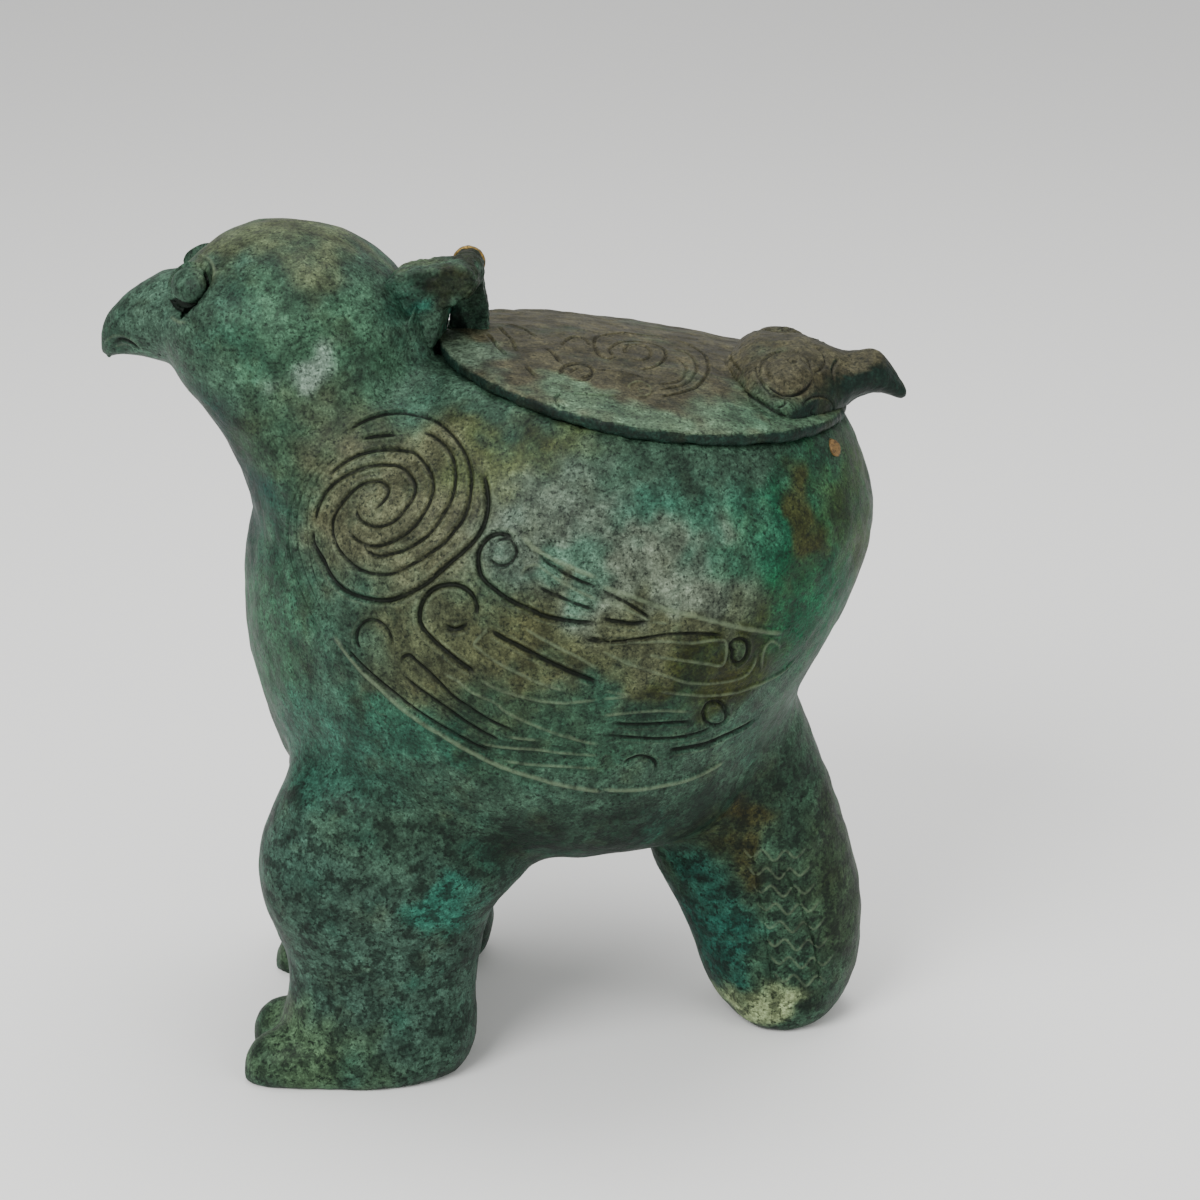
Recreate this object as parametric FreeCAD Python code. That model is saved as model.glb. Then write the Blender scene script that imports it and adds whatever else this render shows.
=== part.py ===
import FreeCAD, Part
import math
import os

Vector = FreeCAD.Vector

# A bird-shaped bronze wine vessel with a hinged lid on its back.
# Millimetres. The bird faces -X, its left side faces -Y, and +Z is up.
# The origin is on the ground, under the middle of the whole length.

# Driving sizes of the body
OVERALL_HEIGHT = 292.8
BELLY_HEIGHT = 75.0
TORSO_LENGTH = 219.6
TORSO_WIDTH = 178.0
TORSO_MIDDLE_X = 18.0
BODY_WALL = 5.0
HEAD_LENGTH = 92.0
HEAD_WIDTH = 88.0
HEAD_SETBACK = 88.4

# Driving sizes of the beak
BEAK_LENGTH = 39.6
BEAK_DEPTH = 34.0
BEAK_WIDTH = 44.0
BEAK_DROP = 15.1
BEAK_ROOT_INSET = 21.0
BEAK_ROOT_BELOW_CROWN = 31.9

# Driving sizes of the mouth and the lid
LID_RADIUS = 71.9
LID_RIM_THICKNESS = 4.3
LID_DOME = 8.0
LID_PLATE_THICKNESS = 4.0
MOUTH_RADIUS = 61.0
MOUTH_TILT = 7.0
RIM_DEPTH = 5.0
FLANGE_WALL = 2.5
FLANGE_DEPTH = 4.0
FLANGE_PLAY = 3.0
NECK_GAP = 0.9

# Driving sizes of the lid's bird head
FINIAL_LENGTH = 62.0
FINIAL_WIDTH = 84.0
FINIAL_HEIGHT = 25.0
FINIAL_OVERHANG = 16.3

# Driving sizes of the hinge
PIN_RADIUS = 2.5
PIN_RISE = 33.0
PIN_INSET = 6.6
LUG_RADIUS = 6.3
LUG_WIDTH = 19.0
LUG_NEAR_END = 15.0
LUG_ROOT_RADIUS = 9.0
LUG_ROOT_REACH = 15.5
LUG_ROOT_DROP = 7.0
LUG_ROUNDING = 1.6
ARM_WIDTH = 9.5
ARM_EYE_RADIUS = 5.4
ARM_THICKNESS = 9.2
ARM_SETBACK = 3.2
ARM_FOOT_FLARE = 4.0
ARM_WAIST_SHARE = 0.45
COLLAR_RADIUS = 5.8
COLLAR_WIDTH = 2.2
PIN_STAND_OUT = 0.8
HINGE_SIDE_PLAY = 0.3
PIN_PLAY = 0.05
HINGE_RELIEF_DEPTH = 1.2
HINGE_RELIEF_REACH = 13.0

# Driving sizes of the legs
LEG_LENGTH = 78.0
LEG_WIDTH = 51.0
LEG_SPACING = 87.0
LEG_MIDDLE_X = -43.0
RIGHT_LEG_SETBACK = 2.5
LEG_WALL = 5.0
TOE_LENGTH = 36.0
TOE_WIDTH = 24.0
TOE_HEIGHT = 19.0
TOE_SPACING = 26.0
TOE_TIP_REACH = 48.0

# Driving sizes of the tail
TAIL_LENGTH = 63.0
TAIL_WIDTH = 52.0
TAIL_MIDDLE_X = 95.6
TAIL_WALL = 5.0

# Driving sizes of the eyes
EYE_RADIUS = 8.6
EYE_DOME = 2.4
EYE_BASE = 3.0
EYE_STAND_OUT = 0.2
SOCKET_GAP = 1.2
EYE_FORWARD = 33.2
EYE_SIDE = 20.4
EYE_BELOW_CROWN = 17.0
EYE_TURN = 36.0
EYE_LIFT = 24.0

# Driving sizes of the plug in the wall below the rim
PLUG_RADIUS = 2.6
PLUG_ANGLE = 39.0
PLUG_BELOW_RIM = 9.5

# One overrun serves all cuts
OVERRUN = 60.0

RING_POINTS = 28
OVAL_POWER = 2.0
HEAD_POWER = 2.3
LEG_POWER = 2.3
FINIAL_POWER = 1.8

# Each row is height, front, rear and widest place, and half width.
# Heights are shares of the rise from the belly to the crown, places along X
# are shares of half the torso's length, widths are shares of its half width.
TORSO_SHARES = (
    (0.000, -0.050, 0.260, 0.100, 0.090),
    (0.007, -0.250, 0.400, 0.080, 0.300),
    (0.024, -0.470, 0.520, 0.055, 0.500),
    (0.052, -0.650, 0.600, 0.015, 0.650),
    (0.090, -0.780, 0.650, -0.025, 0.765),
    (0.140, -0.870, 0.690, -0.055, 0.850),
    (0.196, -0.920, 0.735, -0.065, 0.910),
    (0.255, -0.950, 0.785, -0.055, 0.950),
    (0.330, -0.980, 0.857, -0.030, 0.983),
    (0.413, -0.990, 0.936, 0.010, 1.000),
    (0.487, -0.980, 0.985, 0.055, 0.997),
    (0.551, -0.950, 1.000, 0.095, 0.975),
    (0.606, -0.890, 0.990, 0.130, 0.942),
    (0.656, -0.790, 0.960, 0.165, 0.897),
    (0.700, -0.650, 0.918, 0.200, 0.848),
    (0.739, -0.500, 0.859, 0.230, 0.790),
    (0.771, -0.380, 0.782, 0.250, 0.728),
    (0.804, -0.290, 0.690, 0.260, 0.650),
)

# The same for the neck and head, in shares of the rise, of half the head's
# length and of its half width. The lower rows lie inside the torso.
NECK_SHARES = (
    (0.345, -0.174, 1.957, 0.978, 1.180),
    (0.460, -0.260, 2.087, 1.000, 1.380),
    (0.540, -0.325, 2.087, 0.957, 1.410),
    (0.592, -0.378, 2.040, 0.890, 1.370),
    (0.638, -0.448, 1.957, 0.804, 1.300),
    (0.684, -0.555, 1.780, 0.696, 1.220),
    (0.730, -0.715, 1.380, 0.480, 1.115),
    (0.776, -0.880, 1.010, 0.180, 1.020),
    (0.822, -0.965, 0.975, 0.040, 0.980),
    (0.864, -0.975, 0.925, -0.010, 0.955),
    (0.905, -0.905, 0.815, -0.040, 0.890),
    (0.942, -0.750, 0.660, -0.045, 0.761),
    (0.969, -0.587, 0.480, -0.050, 0.590),
    (0.987, -0.413, 0.300, -0.055, 0.410),
    (0.997, -0.238, 0.125, -0.055, 0.205),
    (1.000, -0.145, 0.035, -0.055, 0.090),
)

# Each row is reach along the beak, drop, half depth and half width as
# shares of the beak's sizes, and the downward turn of the section in degrees.
BEAK_SHARES = (
    (0.000, 0.000, 0.500, 0.500, 0.0),
    (0.290, 0.033, 0.490, 0.435, 4.0),
    (0.543, 0.120, 0.430, 0.348, 10.0),
    (0.741, 0.278, 0.341, 0.260, 20.0),
    (0.868, 0.477, 0.253, 0.187, 34.0),
    (0.939, 0.689, 0.165, 0.122, 50.0),
    (0.980, 0.868, 0.085, 0.065, 66.0),
    (1.000, 1.000, 0.030, 0.024, 75.0),
)

# Each row is height as a share of the belly's height, front, rear and widest
# place as shares of half the leg's length, the shift towards the middle as a
# share of the leg's width, and half width as a share of its half width.
LEG_SHARES = (
    (0.000, -0.980, 0.720, -0.320, 0.000, 0.950),
    (0.107, -0.965, 0.820, -0.250, 0.000, 1.000),
    (0.320, -0.872, 0.851, -0.100, 0.000, 0.940),
    (0.587, -0.850, 0.885, 0.000, 0.000, 0.940),
    (0.733, -0.950, 0.949, 0.000, 0.000, 1.030),
    (0.880, -1.045, 1.090, 0.000, 0.000, 1.140),
    (1.120, -1.055, 1.460, 0.150, 0.020, 1.200),
    (1.333, -0.900, 1.410, 0.200, 0.040, 1.160),
    (1.493, -0.750, 1.154, 0.200, 0.060, 1.010),
    (1.667, -0.436, 0.974, 0.250, 0.100, 0.784),
)

# Each row is the way back from the toe's tip, height and half width as
# shares of the toe's sizes.
TOE_SHARES = (
    (0.000, 0.240, 0.200),
    (0.050, 0.560, 0.560),
    (0.160, 0.800, 0.820),
    (0.400, 0.950, 0.980),
    (0.700, 1.000, 1.000),
    (1.000, 1.000, 0.940),
)
TOE_MIDDLE_SHARE = 0.36

# Each row is height as a share of the belly's height, front and rear as
# shares of half the tail's length, and half width.
TAIL_SHARES = (
    (0.000, -0.241, 0.584, 0.830),
    (0.040, -0.495, 0.743, 0.930),
    (0.107, -0.638, 0.854, 1.000),
    (0.240, -0.797, 0.985, 1.040),
    (0.480, -0.987, 1.040, 1.070),
    (0.733, -1.289, 0.975, 1.100),
    (1.000, -1.511, 0.810, 1.140),
    (1.267, -1.575, 0.575, 1.160),
    (1.533, -1.448, 0.346, 1.115),
    (1.707, -1.130, 0.171, 1.000),
)

# Each row is the way from the nape of the lid's bird head to its beak's tip,
# the top and underside over the seat, and the half width.
FINIAL_SHARES = (
    (0.000, 0.426, -0.520, 0.240),
    (0.032, 0.556, -0.520, 0.600),
    (0.097, 0.722, -0.520, 0.857),
    (0.177, 0.889, -0.520, 0.976),
    (0.258, 0.981, -0.520, 1.000),
    (0.355, 1.000, -0.520, 0.930),
    (0.452, 0.963, -0.520, 0.786),
    (0.548, 0.907, -0.400, 0.595),
    (0.629, 0.863, -0.100, 0.417),
    (0.710, 0.859, 0.200, 0.310),
    (0.806, 0.881, 0.278, 0.250),
    (0.887, 0.815, 0.333, 0.179),
    (0.952, 0.696, 0.407, 0.107),
    (1.000, 0.548, 0.481, 0.036),
)

MOUTH_PLACE_SHARE = 0.282
MOUTH_HEIGHT_SHARE = 0.7335

RISE = OVERALL_HEIGHT - BELLY_HEIGHT
HEAD_MIDDLE_X = TORSO_MIDDLE_X - HEAD_SETBACK
MOUTH_X = TORSO_MIDDLE_X + MOUTH_PLACE_SHARE * TORSO_LENGTH / 2
MOUTH_Z = BELLY_HEIGHT + MOUTH_HEIGHT_SHARE * RISE
LID_TOP = LID_RIM_THICKNESS + LID_DOME
PIN_X = PIN_INSET - LID_RADIUS
LUG_FAR_END = LUG_WIDTH - LUG_NEAR_END
ARM_START = LUG_FAR_END + HINGE_SIDE_PLAY
ARM_END = ARM_START + ARM_WIDTH
SEAT = FreeCAD.Placement(
    Vector(MOUTH_X, 0, MOUTH_Z),
    FreeCAD.Rotation(Vector(0, 1, 0), MOUTH_TILT),
)


def signed_power(value, power):
    return math.copysign(abs(value) ** power, value)


def closed_curve(points):
    curve = Part.BSplineCurve()
    curve.interpolate(Points=points, PeriodicFlag=True)
    return Part.Wire([curve.toShape()])


def oval_points(front, rear, widest, half_width, power):
    """Points of an egg-shaped outline as pairs of X and Y."""
    points = []
    for index in range(RING_POINTS):
        angle = 2 * math.pi * index / RING_POINTS
        reach = rear - widest if math.cos(angle) > 0 else widest - front
        along = signed_power(math.cos(angle), 2 / power)
        across = signed_power(math.sin(angle), 2 / power)
        points.append((widest + reach * along, half_width * across))
    return points


def level_ring(z, front, rear, widest, half_width, power, y=0):
    outline = oval_points(front, rear, widest, half_width, power)
    return closed_curve([Vector(x, y + across, z) for x, across in outline])


def loft(rings):
    return Part.makeLoft(rings, True, False)


def rounded_solid(rows, middle, length, width, power, inset):
    """A loft through the rows, or with an inset the space inside its wall."""
    rings = []
    for height, front, rear, widest, half_width in rows:
        place = middle + widest * length / 2
        narrow = min(inset, half_width * width / 4)
        rings.append(level_ring(
            BELLY_HEIGHT + inset + height * (RISE - 2 * inset),
            min(middle + front * length / 2 + inset, place - narrow),
            max(middle + rear * length / 2 - inset, place + narrow),
            place,
            half_width * width / 2 - narrow,
            power,
        ))
    return loft(rings)


def torso_solid(inset):
    return rounded_solid(
        TORSO_SHARES, TORSO_MIDDLE_X, TORSO_LENGTH, TORSO_WIDTH, OVAL_POWER,
        inset)


def neck_solid(inset):
    return rounded_solid(
        NECK_SHARES, HEAD_MIDDLE_X, HEAD_LENGTH, HEAD_WIDTH, HEAD_POWER,
        inset)


def beak_solid():
    root = Vector(
        HEAD_MIDDLE_X - HEAD_LENGTH / 2 + BEAK_ROOT_INSET, 0,
        OVERALL_HEIGHT - BEAK_ROOT_BELOW_CROWN,
    )
    rings = []
    for reach, drop, half_depth, half_width, turn in BEAK_SHARES:
        angle = math.radians(turn)
        up = Vector(-math.sin(angle), 0, math.cos(angle))
        side = Vector(0, 1, 0)
        middle = root + Vector(-reach * BEAK_LENGTH, 0, -drop * BEAK_DROP)
        depth = half_depth * BEAK_DEPTH
        width = half_width * BEAK_WIDTH
        outline = oval_points(-depth, depth, 0, width, OVAL_POWER)
        rings.append(closed_curve([
            middle + up * rise + side * across for rise, across in outline
        ]))
    return loft(rings)


def seat_cylinder(radius, bottom, top):
    """A cylinder round the lid's axis, between two levels over the seat."""
    tube = Part.makeCylinder(radius, top - bottom, Vector(0, 0, bottom))
    tube.Placement = SEAT.multiply(tube.Placement)
    return tube


def seat_space(level):
    """Everything above a level over the seat, across the whole torso."""
    return seat_cylinder(TORSO_LENGTH, level, level + OVERRUN)


def outer_body():
    torso = torso_solid(0).cut(seat_space(0))
    neck = neck_solid(0).cut(seat_cylinder(LID_RADIUS + NECK_GAP, 0, OVERRUN))
    return torso.fuse(neck).fuse(beak_solid()).removeSplitter()


def body_cavity():
    torso = torso_solid(BODY_WALL).cut(seat_space(-RIM_DEPTH))
    neck_wall = LID_RADIUS + NECK_GAP + BODY_WALL
    neck = neck_solid(BODY_WALL).cut(
        seat_cylinder(neck_wall, -RIM_DEPTH, OVERRUN))
    mouth = seat_cylinder(MOUTH_RADIUS, -2 * RIM_DEPTH, RIM_DEPTH)
    return torso.fuse(neck).fuse(mouth)


def on_seat(shape):
    """Place a shape that was made in the seat's own frame."""
    shape.Placement = SEAT.multiply(shape.Placement)
    return shape


def cap_sphere(radius, rise):
    """The sphere that rises by this much over a disc of this radius."""
    return (radius ** 2 + rise ** 2) / (2 * rise)


def cap_height(radius, top, sphere):
    return top - sphere + math.sqrt(sphere ** 2 - radius ** 2)


def cap_arc(radius, top, sphere):
    """The arc of a cap from the axis out to a radius."""
    return Part.Arc(*[
        Vector(reach, 0, cap_height(reach, top, sphere))
        for reach in (0, radius / 2, radius)
    ]).toShape()


def revolved(edges):
    face = Part.Face(Part.Wire(Part.__sortEdges__(edges)))
    return face.revolve(Vector(0, 0, 0), Vector(0, 0, 1), 360)


def polyline(corners):
    return [
        Part.LineSegment(start, end).toShape()
        for start, end in zip(corners, corners[1:])
    ]


def lid_plate():
    flange_outside = MOUTH_RADIUS - FLANGE_PLAY
    flange_inside = flange_outside - FLANGE_WALL
    sphere = cap_sphere(LID_RADIUS, LID_DOME)
    under = sphere - LID_PLATE_THICKNESS
    under_top = LID_TOP - LID_PLATE_THICKNESS
    edges = [
        cap_arc(LID_RADIUS, LID_TOP, sphere),
        cap_arc(flange_inside, under_top, under),
    ]
    edges += polyline([
        Vector(LID_RADIUS, 0, LID_RIM_THICKNESS),
        Vector(LID_RADIUS, 0, 0),
        Vector(flange_outside, 0, 0),
        Vector(flange_outside, 0, -FLANGE_DEPTH),
        Vector(flange_inside, 0, -FLANGE_DEPTH),
        Vector(flange_inside, 0, cap_height(flange_inside, under_top, under)),
    ])
    edges += polyline([Vector(0, 0, under_top), Vector(0, 0, LID_TOP)])
    return on_seat(revolved(edges))


def lid_block():
    """All that lies under the lid's top face, for seating what it carries."""
    edges = [cap_arc(LID_RADIUS, LID_TOP, cap_sphere(LID_RADIUS, LID_DOME))]
    edges += polyline([
        Vector(LID_RADIUS, 0, LID_RIM_THICKNESS),
        Vector(LID_RADIUS, 0, -OVERRUN),
        Vector(0, 0, -OVERRUN),
        Vector(0, 0, LID_TOP),
    ])
    return on_seat(revolved(edges))


def lid_bird_head():
    nape = LID_RADIUS + FINIAL_OVERHANG - FINIAL_LENGTH
    rings = []
    for way, top, bottom, half_width in FINIAL_SHARES:
        x = nape + way * FINIAL_LENGTH
        middle = (top + bottom) / 2 * FINIAL_HEIGHT
        half_height = (top - bottom) / 2 * FINIAL_HEIGHT
        width = half_width * FINIAL_WIDTH / 2
        outline = oval_points(-half_height, half_height, 0, width, FINIAL_POWER)
        rings.append(closed_curve([
            Vector(x, across, middle + rise) for rise, across in outline
        ]))
    return on_seat(loft(rings)).cut(lid_block())


def hinge_cylinder(radius, start_y, end_y):
    """A cylinder on the hinge's axis, in the seat's frame."""
    return Part.makeCylinder(
        radius, end_y - start_y, Vector(PIN_X, start_y, PIN_RISE),
        Vector(0, 1, 0))


def slab(corners, start_y, end_y):
    """A plate with the given outline, across part of the hinge's width."""
    points = [Vector(x, start_y, z) for x, z in corners]
    face = Part.Face(Part.makePolygon(points + points[:1]))
    return face.extrude(Vector(0, end_y - start_y, 0))


def lid_hinge_arm():
    waist_z = ARM_WAIST_SHARE * PIN_RISE
    front = PIN_X + ARM_SETBACK - ARM_THICKNESS / 2
    rear = PIN_X + ARM_SETBACK + ARM_THICKNESS / 2
    corners = (
        (front - ARM_FOOT_FLARE / 2, 0),
        (rear + ARM_FOOT_FLARE, 0),
        (rear, waist_z),
        (PIN_X + ARM_EYE_RADIUS, PIN_RISE),
        (PIN_X - ARM_EYE_RADIUS / 2, PIN_RISE),
        (front, waist_z),
    )
    eye = hinge_cylinder(ARM_EYE_RADIUS, ARM_START, ARM_END)
    arm = slab(corners, ARM_START, ARM_END).fuse(eye).removeSplitter()
    hole = hinge_cylinder(PIN_RADIUS + PIN_PLAY, -OVERRUN, OVERRUN)
    return on_seat(arm.cut(hole)).cut(lid_block())


def neck_hinge_lug(outer):
    """The lug that leans out from the nape and holds the pin."""
    root = Vector(PIN_X - LUG_ROOT_REACH, 0, PIN_RISE - LUG_ROOT_DROP)
    tip = Vector(PIN_X, 0, PIN_RISE)
    run = tip - root
    lean = math.atan2(run.z, run.x)
    spread = math.acos((LUG_ROOT_RADIUS - LUG_RADIUS) / run.Length)
    corners = []
    for centre, radius, side in (
        (root, LUG_ROOT_RADIUS, 1),
        (tip, LUG_RADIUS, 1),
        (tip, LUG_RADIUS, -1),
        (root, LUG_ROOT_RADIUS, -1),
    ):
        angle = lean + side * spread
        corners.append((
            centre.x + radius * math.cos(angle),
            centre.z + radius * math.sin(angle),
        ))
    web = slab(corners, -LUG_NEAR_END, LUG_FAR_END)
    heel = Part.makeCylinder(
        LUG_ROOT_RADIUS, LUG_WIDTH, Vector(root.x, -LUG_NEAR_END, root.z),
        Vector(0, 1, 0))
    eye = hinge_cylinder(LUG_RADIUS, -LUG_NEAR_END, LUG_FAR_END)
    lug = web.fuse(heel).fuse(eye).removeSplitter()
    end_edges = [
        edge for edge in lug.Edges
        if edge.BoundBox.YMax - edge.BoundBox.YMin < LUG_ROUNDING
    ]
    lug = lug.makeFillet(LUG_ROUNDING, end_edges)
    hole = hinge_cylinder(PIN_RADIUS, -OVERRUN, OVERRUN)
    return on_seat(lug.cut(hole)).cut(outer)


def hinge_pin():
    """The pin, flush with the lug's near face and proud of the collar."""
    end = ARM_END + HINGE_SIDE_PLAY + COLLAR_WIDTH + PIN_STAND_OUT
    return on_seat(hinge_cylinder(PIN_RADIUS, -LUG_NEAR_END, end))


def hinge_collar():
    """The ring on the pin's far end, which keeps the arm on."""
    start = ARM_END + HINGE_SIDE_PLAY
    ring = hinge_cylinder(COLLAR_RADIUS, start, start + COLLAR_WIDTH)
    hole = hinge_cylinder(PIN_RADIUS, -OVERRUN, OVERRUN)
    return on_seat(ring.cut(hole))


def hinge_relief():
    """Room under the lid's front edge, which dips as the lid opens."""
    reach = LID_RADIUS + NECK_GAP
    box = Part.makeBox(
        HINGE_RELIEF_REACH, 2 * reach, OVERRUN,
        Vector(-reach, -reach, -HINGE_RELIEF_DEPTH))
    disc = Part.makeCylinder(
        reach, OVERRUN, Vector(0, 0, -HINGE_RELIEF_DEPTH))
    return on_seat(box.common(disc))


def leg_loft(inset, setback):
    top = LEG_SHARES[-1][0]
    rings = []
    for height, front, rear, widest, shift, half_width in LEG_SHARES:
        middle = LEG_MIDDLE_X + setback
        rings.append(level_ring(
            height * BELLY_HEIGHT + inset * (1 - height / top),
            middle + front * LEG_LENGTH / 2 + inset,
            middle + rear * LEG_LENGTH / 2 - inset,
            middle + widest * LEG_LENGTH / 2,
            half_width * LEG_WIDTH / 2 - inset,
            LEG_POWER,
            y=shift * LEG_WIDTH - LEG_SPACING / 2,
        ))
    return loft(rings)


def toe_solid(tip, y):
    middle = TOE_MIDDLE_SHARE
    rings = []
    for way, height, half_width in TOE_SHARES:
        rise = height * TOE_HEIGHT * (1 - middle)
        width = half_width * TOE_WIDTH / 2
        outline = oval_points(-rise, rise, 0, width, OVAL_POWER)
        rings.append(closed_curve([
            Vector(tip + way * TOE_LENGTH, y + across,
                   middle * height * TOE_HEIGHT + up)
            for up, across in outline
        ]))
    return loft(rings)


def below_ground():
    return Part.makeBox(
        2 * TORSO_LENGTH, 2 * TORSO_WIDTH, OVERRUN,
        Vector(-TORSO_LENGTH, -TORSO_WIDTH, -OVERRUN))


def leg_and_core(outer, setback):
    """A leg on the -Y side and the clay core that is sealed inside it."""
    leg = leg_loft(0, setback)
    tip = LEG_MIDDLE_X + setback - TOE_TIP_REACH
    for side in (-1, 1):
        y = side * TOE_SPACING / 2 - LEG_SPACING / 2
        leg = leg.fuse(toe_solid(tip, y))
    leg = leg.cut(below_ground()).cut(outer)
    core = leg_loft(LEG_WALL, setback).cut(outer)
    return leg.cut(core), core


def tail_loft(inset):
    top = TAIL_SHARES[-1][0]
    rings = []
    for height, front, rear, half_width in TAIL_SHARES:
        half_length = TAIL_LENGTH / 2
        front_x = TAIL_MIDDLE_X + front * half_length + inset
        rear_x = TAIL_MIDDLE_X + rear * half_length - inset
        rings.append(level_ring(
            height * BELLY_HEIGHT + inset * (1 - height / top),
            front_x, rear_x, (front_x + rear_x) / 2,
            half_width * TAIL_WIDTH / 2 - inset, OVAL_POWER,
        ))
    return loft(rings)


def tail_and_core(outer):
    tail = tail_loft(0).cut(outer)
    core = tail_loft(TAIL_WALL).cut(outer)
    return tail.cut(core), core


def at_eye(shape):
    """Place a shape that points up, on the left side of the head."""
    turn = math.radians(EYE_TURN)
    lift = math.radians(EYE_LIFT)
    outward = Vector(
        -math.sin(turn) * math.cos(lift),
        -math.cos(turn) * math.cos(lift),
        math.sin(lift),
    )
    place = Vector(
        HEAD_MIDDLE_X - EYE_FORWARD, -EYE_SIDE,
        OVERALL_HEIGHT - EYE_BELOW_CROWN,
    )
    shape.Placement = FreeCAD.Placement(
        place, FreeCAD.Rotation(Vector(0, 0, 1), outward))
    return shape


def eye_stud():
    top = EYE_STAND_OUT + EYE_DOME
    edges = [cap_arc(EYE_RADIUS, top, cap_sphere(EYE_RADIUS, EYE_DOME))]
    edges += polyline([
        Vector(EYE_RADIUS, 0, EYE_STAND_OUT),
        Vector(EYE_RADIUS, 0, -EYE_BASE),
        Vector(0, 0, -EYE_BASE),
        Vector(0, 0, top),
    ])
    return at_eye(revolved(edges))


def eye_socket():
    radius = EYE_RADIUS + SOCKET_GAP
    return at_eye(Part.makeCylinder(
        radius, EYE_BASE + 2 * EYE_RADIUS, Vector(0, 0, -EYE_BASE)))


def plug_hole():
    angle = math.radians(PLUG_ANGLE)
    outward = Vector(math.cos(angle), -math.sin(angle), 0)
    start = outward * MOUTH_RADIUS + Vector(0, 0, -PLUG_BELOW_RIM)
    return on_seat(Part.makeCylinder(PLUG_RADIUS, OVERRUN, start, outward))


def mirrored(shape):
    return shape.mirror(Vector(0, 0, 0), Vector(0, 1, 0))


def main():
    outer = outer_body()
    body = outer.cut(body_cavity()).cut(hinge_relief())
    socket = eye_socket()
    body = body.cut(socket).cut(mirrored(socket))
    plug = plug_hole().common(body)
    body = body.cut(plug_hole())
    left_leg, left_core = leg_and_core(outer, 0)
    right_leg, right_core = leg_and_core(outer, RIGHT_LEG_SETBACK)
    tail, tail_core = tail_and_core(outer)
    parts = {
        "body_shell": body,
        "rim_plug": plug,
        "left_leg": left_leg,
        "right_leg": mirrored(right_leg),
        "left_leg_core": left_core,
        "right_leg_core": mirrored(right_core),
        "tail_support": tail,
        "tail_core": tail_core,
        "left_eye": eye_stud(),
        "right_eye": mirrored(eye_stud()),
        "lid": lid_plate(),
        "lid_bird_head": lid_bird_head(),
        "lid_hinge_arm": lid_hinge_arm(),
        "neck_hinge_lug": neck_hinge_lug(outer),
        "hinge_pin": hinge_pin(),
        "hinge_collar": hinge_collar(),
    }
    os.makedirs("parts", exist_ok=True)
    for name, shape in parts.items():
        shape.exportStep("parts/" + name + ".step")


main()
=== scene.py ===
import math

import bmesh
import bpy
import numpy as np
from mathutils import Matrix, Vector
from mathutils.bvhtree import BVHTree
from mathutils.kdtree import KDTree


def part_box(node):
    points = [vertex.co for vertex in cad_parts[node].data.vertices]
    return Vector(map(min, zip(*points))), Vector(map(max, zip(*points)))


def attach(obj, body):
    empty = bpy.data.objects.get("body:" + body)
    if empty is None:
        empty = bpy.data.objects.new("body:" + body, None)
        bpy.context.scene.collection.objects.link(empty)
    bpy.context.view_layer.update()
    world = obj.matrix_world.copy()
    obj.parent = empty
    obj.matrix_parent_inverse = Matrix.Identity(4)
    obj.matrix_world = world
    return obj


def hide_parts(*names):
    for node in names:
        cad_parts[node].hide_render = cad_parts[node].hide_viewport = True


bl_info = {
    "name": "Bird-shaped bronze vessel",
    "version": (1, 0, 0),
    "blender": (4, 5, 0),
    "location": "View3D > Sidebar > Vessel",
    "description": "Dresses the cast and patinated bird vessel round its CAD frame",
    "category": "Object",
}

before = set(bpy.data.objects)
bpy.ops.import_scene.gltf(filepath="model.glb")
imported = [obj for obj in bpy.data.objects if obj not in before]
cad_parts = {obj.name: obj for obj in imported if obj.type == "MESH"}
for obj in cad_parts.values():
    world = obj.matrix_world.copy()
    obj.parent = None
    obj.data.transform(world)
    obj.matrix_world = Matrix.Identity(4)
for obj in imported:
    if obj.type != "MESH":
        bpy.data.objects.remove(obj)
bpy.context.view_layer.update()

MM = 0.001

# The camera stands where the photograph was taken from.
PHOTO_SIDE = 1200
CAMERA_AZIMUTH = 0.5
CAMERA_ELEVATION = 20.0
CAMERA_DISTANCE = 1100.0
CAMERA_TARGET = (33.3, 0.0, 158.0)
CAMERA_FOCAL_PIXELS = 3135.0
SENSOR_WIDTH = 36.0

# A window is a region of the photograph that was traced from an enlargement: its
# left and top edge and its width, in pixels of the photograph, and the width of the
# enlargement.
MEDALLION_WINDOW = (280, 395, 220, 1568)
SHOULDER_WINDOW = (330, 520, 270, 1568)
REAR_WING_WINDOW = (560, 560, 270, 1568)
HEAD_WINDOW = (90, 210, 240, 1568)
HINGE_WINDOW = (400, 235, 240, 1568)
LID_WINDOW = (540, 300, 380, 1568)
TAIL_WINDOW = (640, 640, 240, 941)

# Grooves and ridges of the ornament, as height and half width in millimetres.
GROOVE = (-1.00, 0.72)
DEEP_GROOVE = (-1.25, 0.95)
FINE_GROOVE = (-0.50, 0.50)
FINE_RIDGE = (0.55, 0.65)
LID_GROOVE = (-0.80, 0.52)
LID_RIDGE = (0.60, 0.50)
RIDGE = (0.60, 0.70)
BORDER_RIDGE = (0.90, 0.95)

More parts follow.
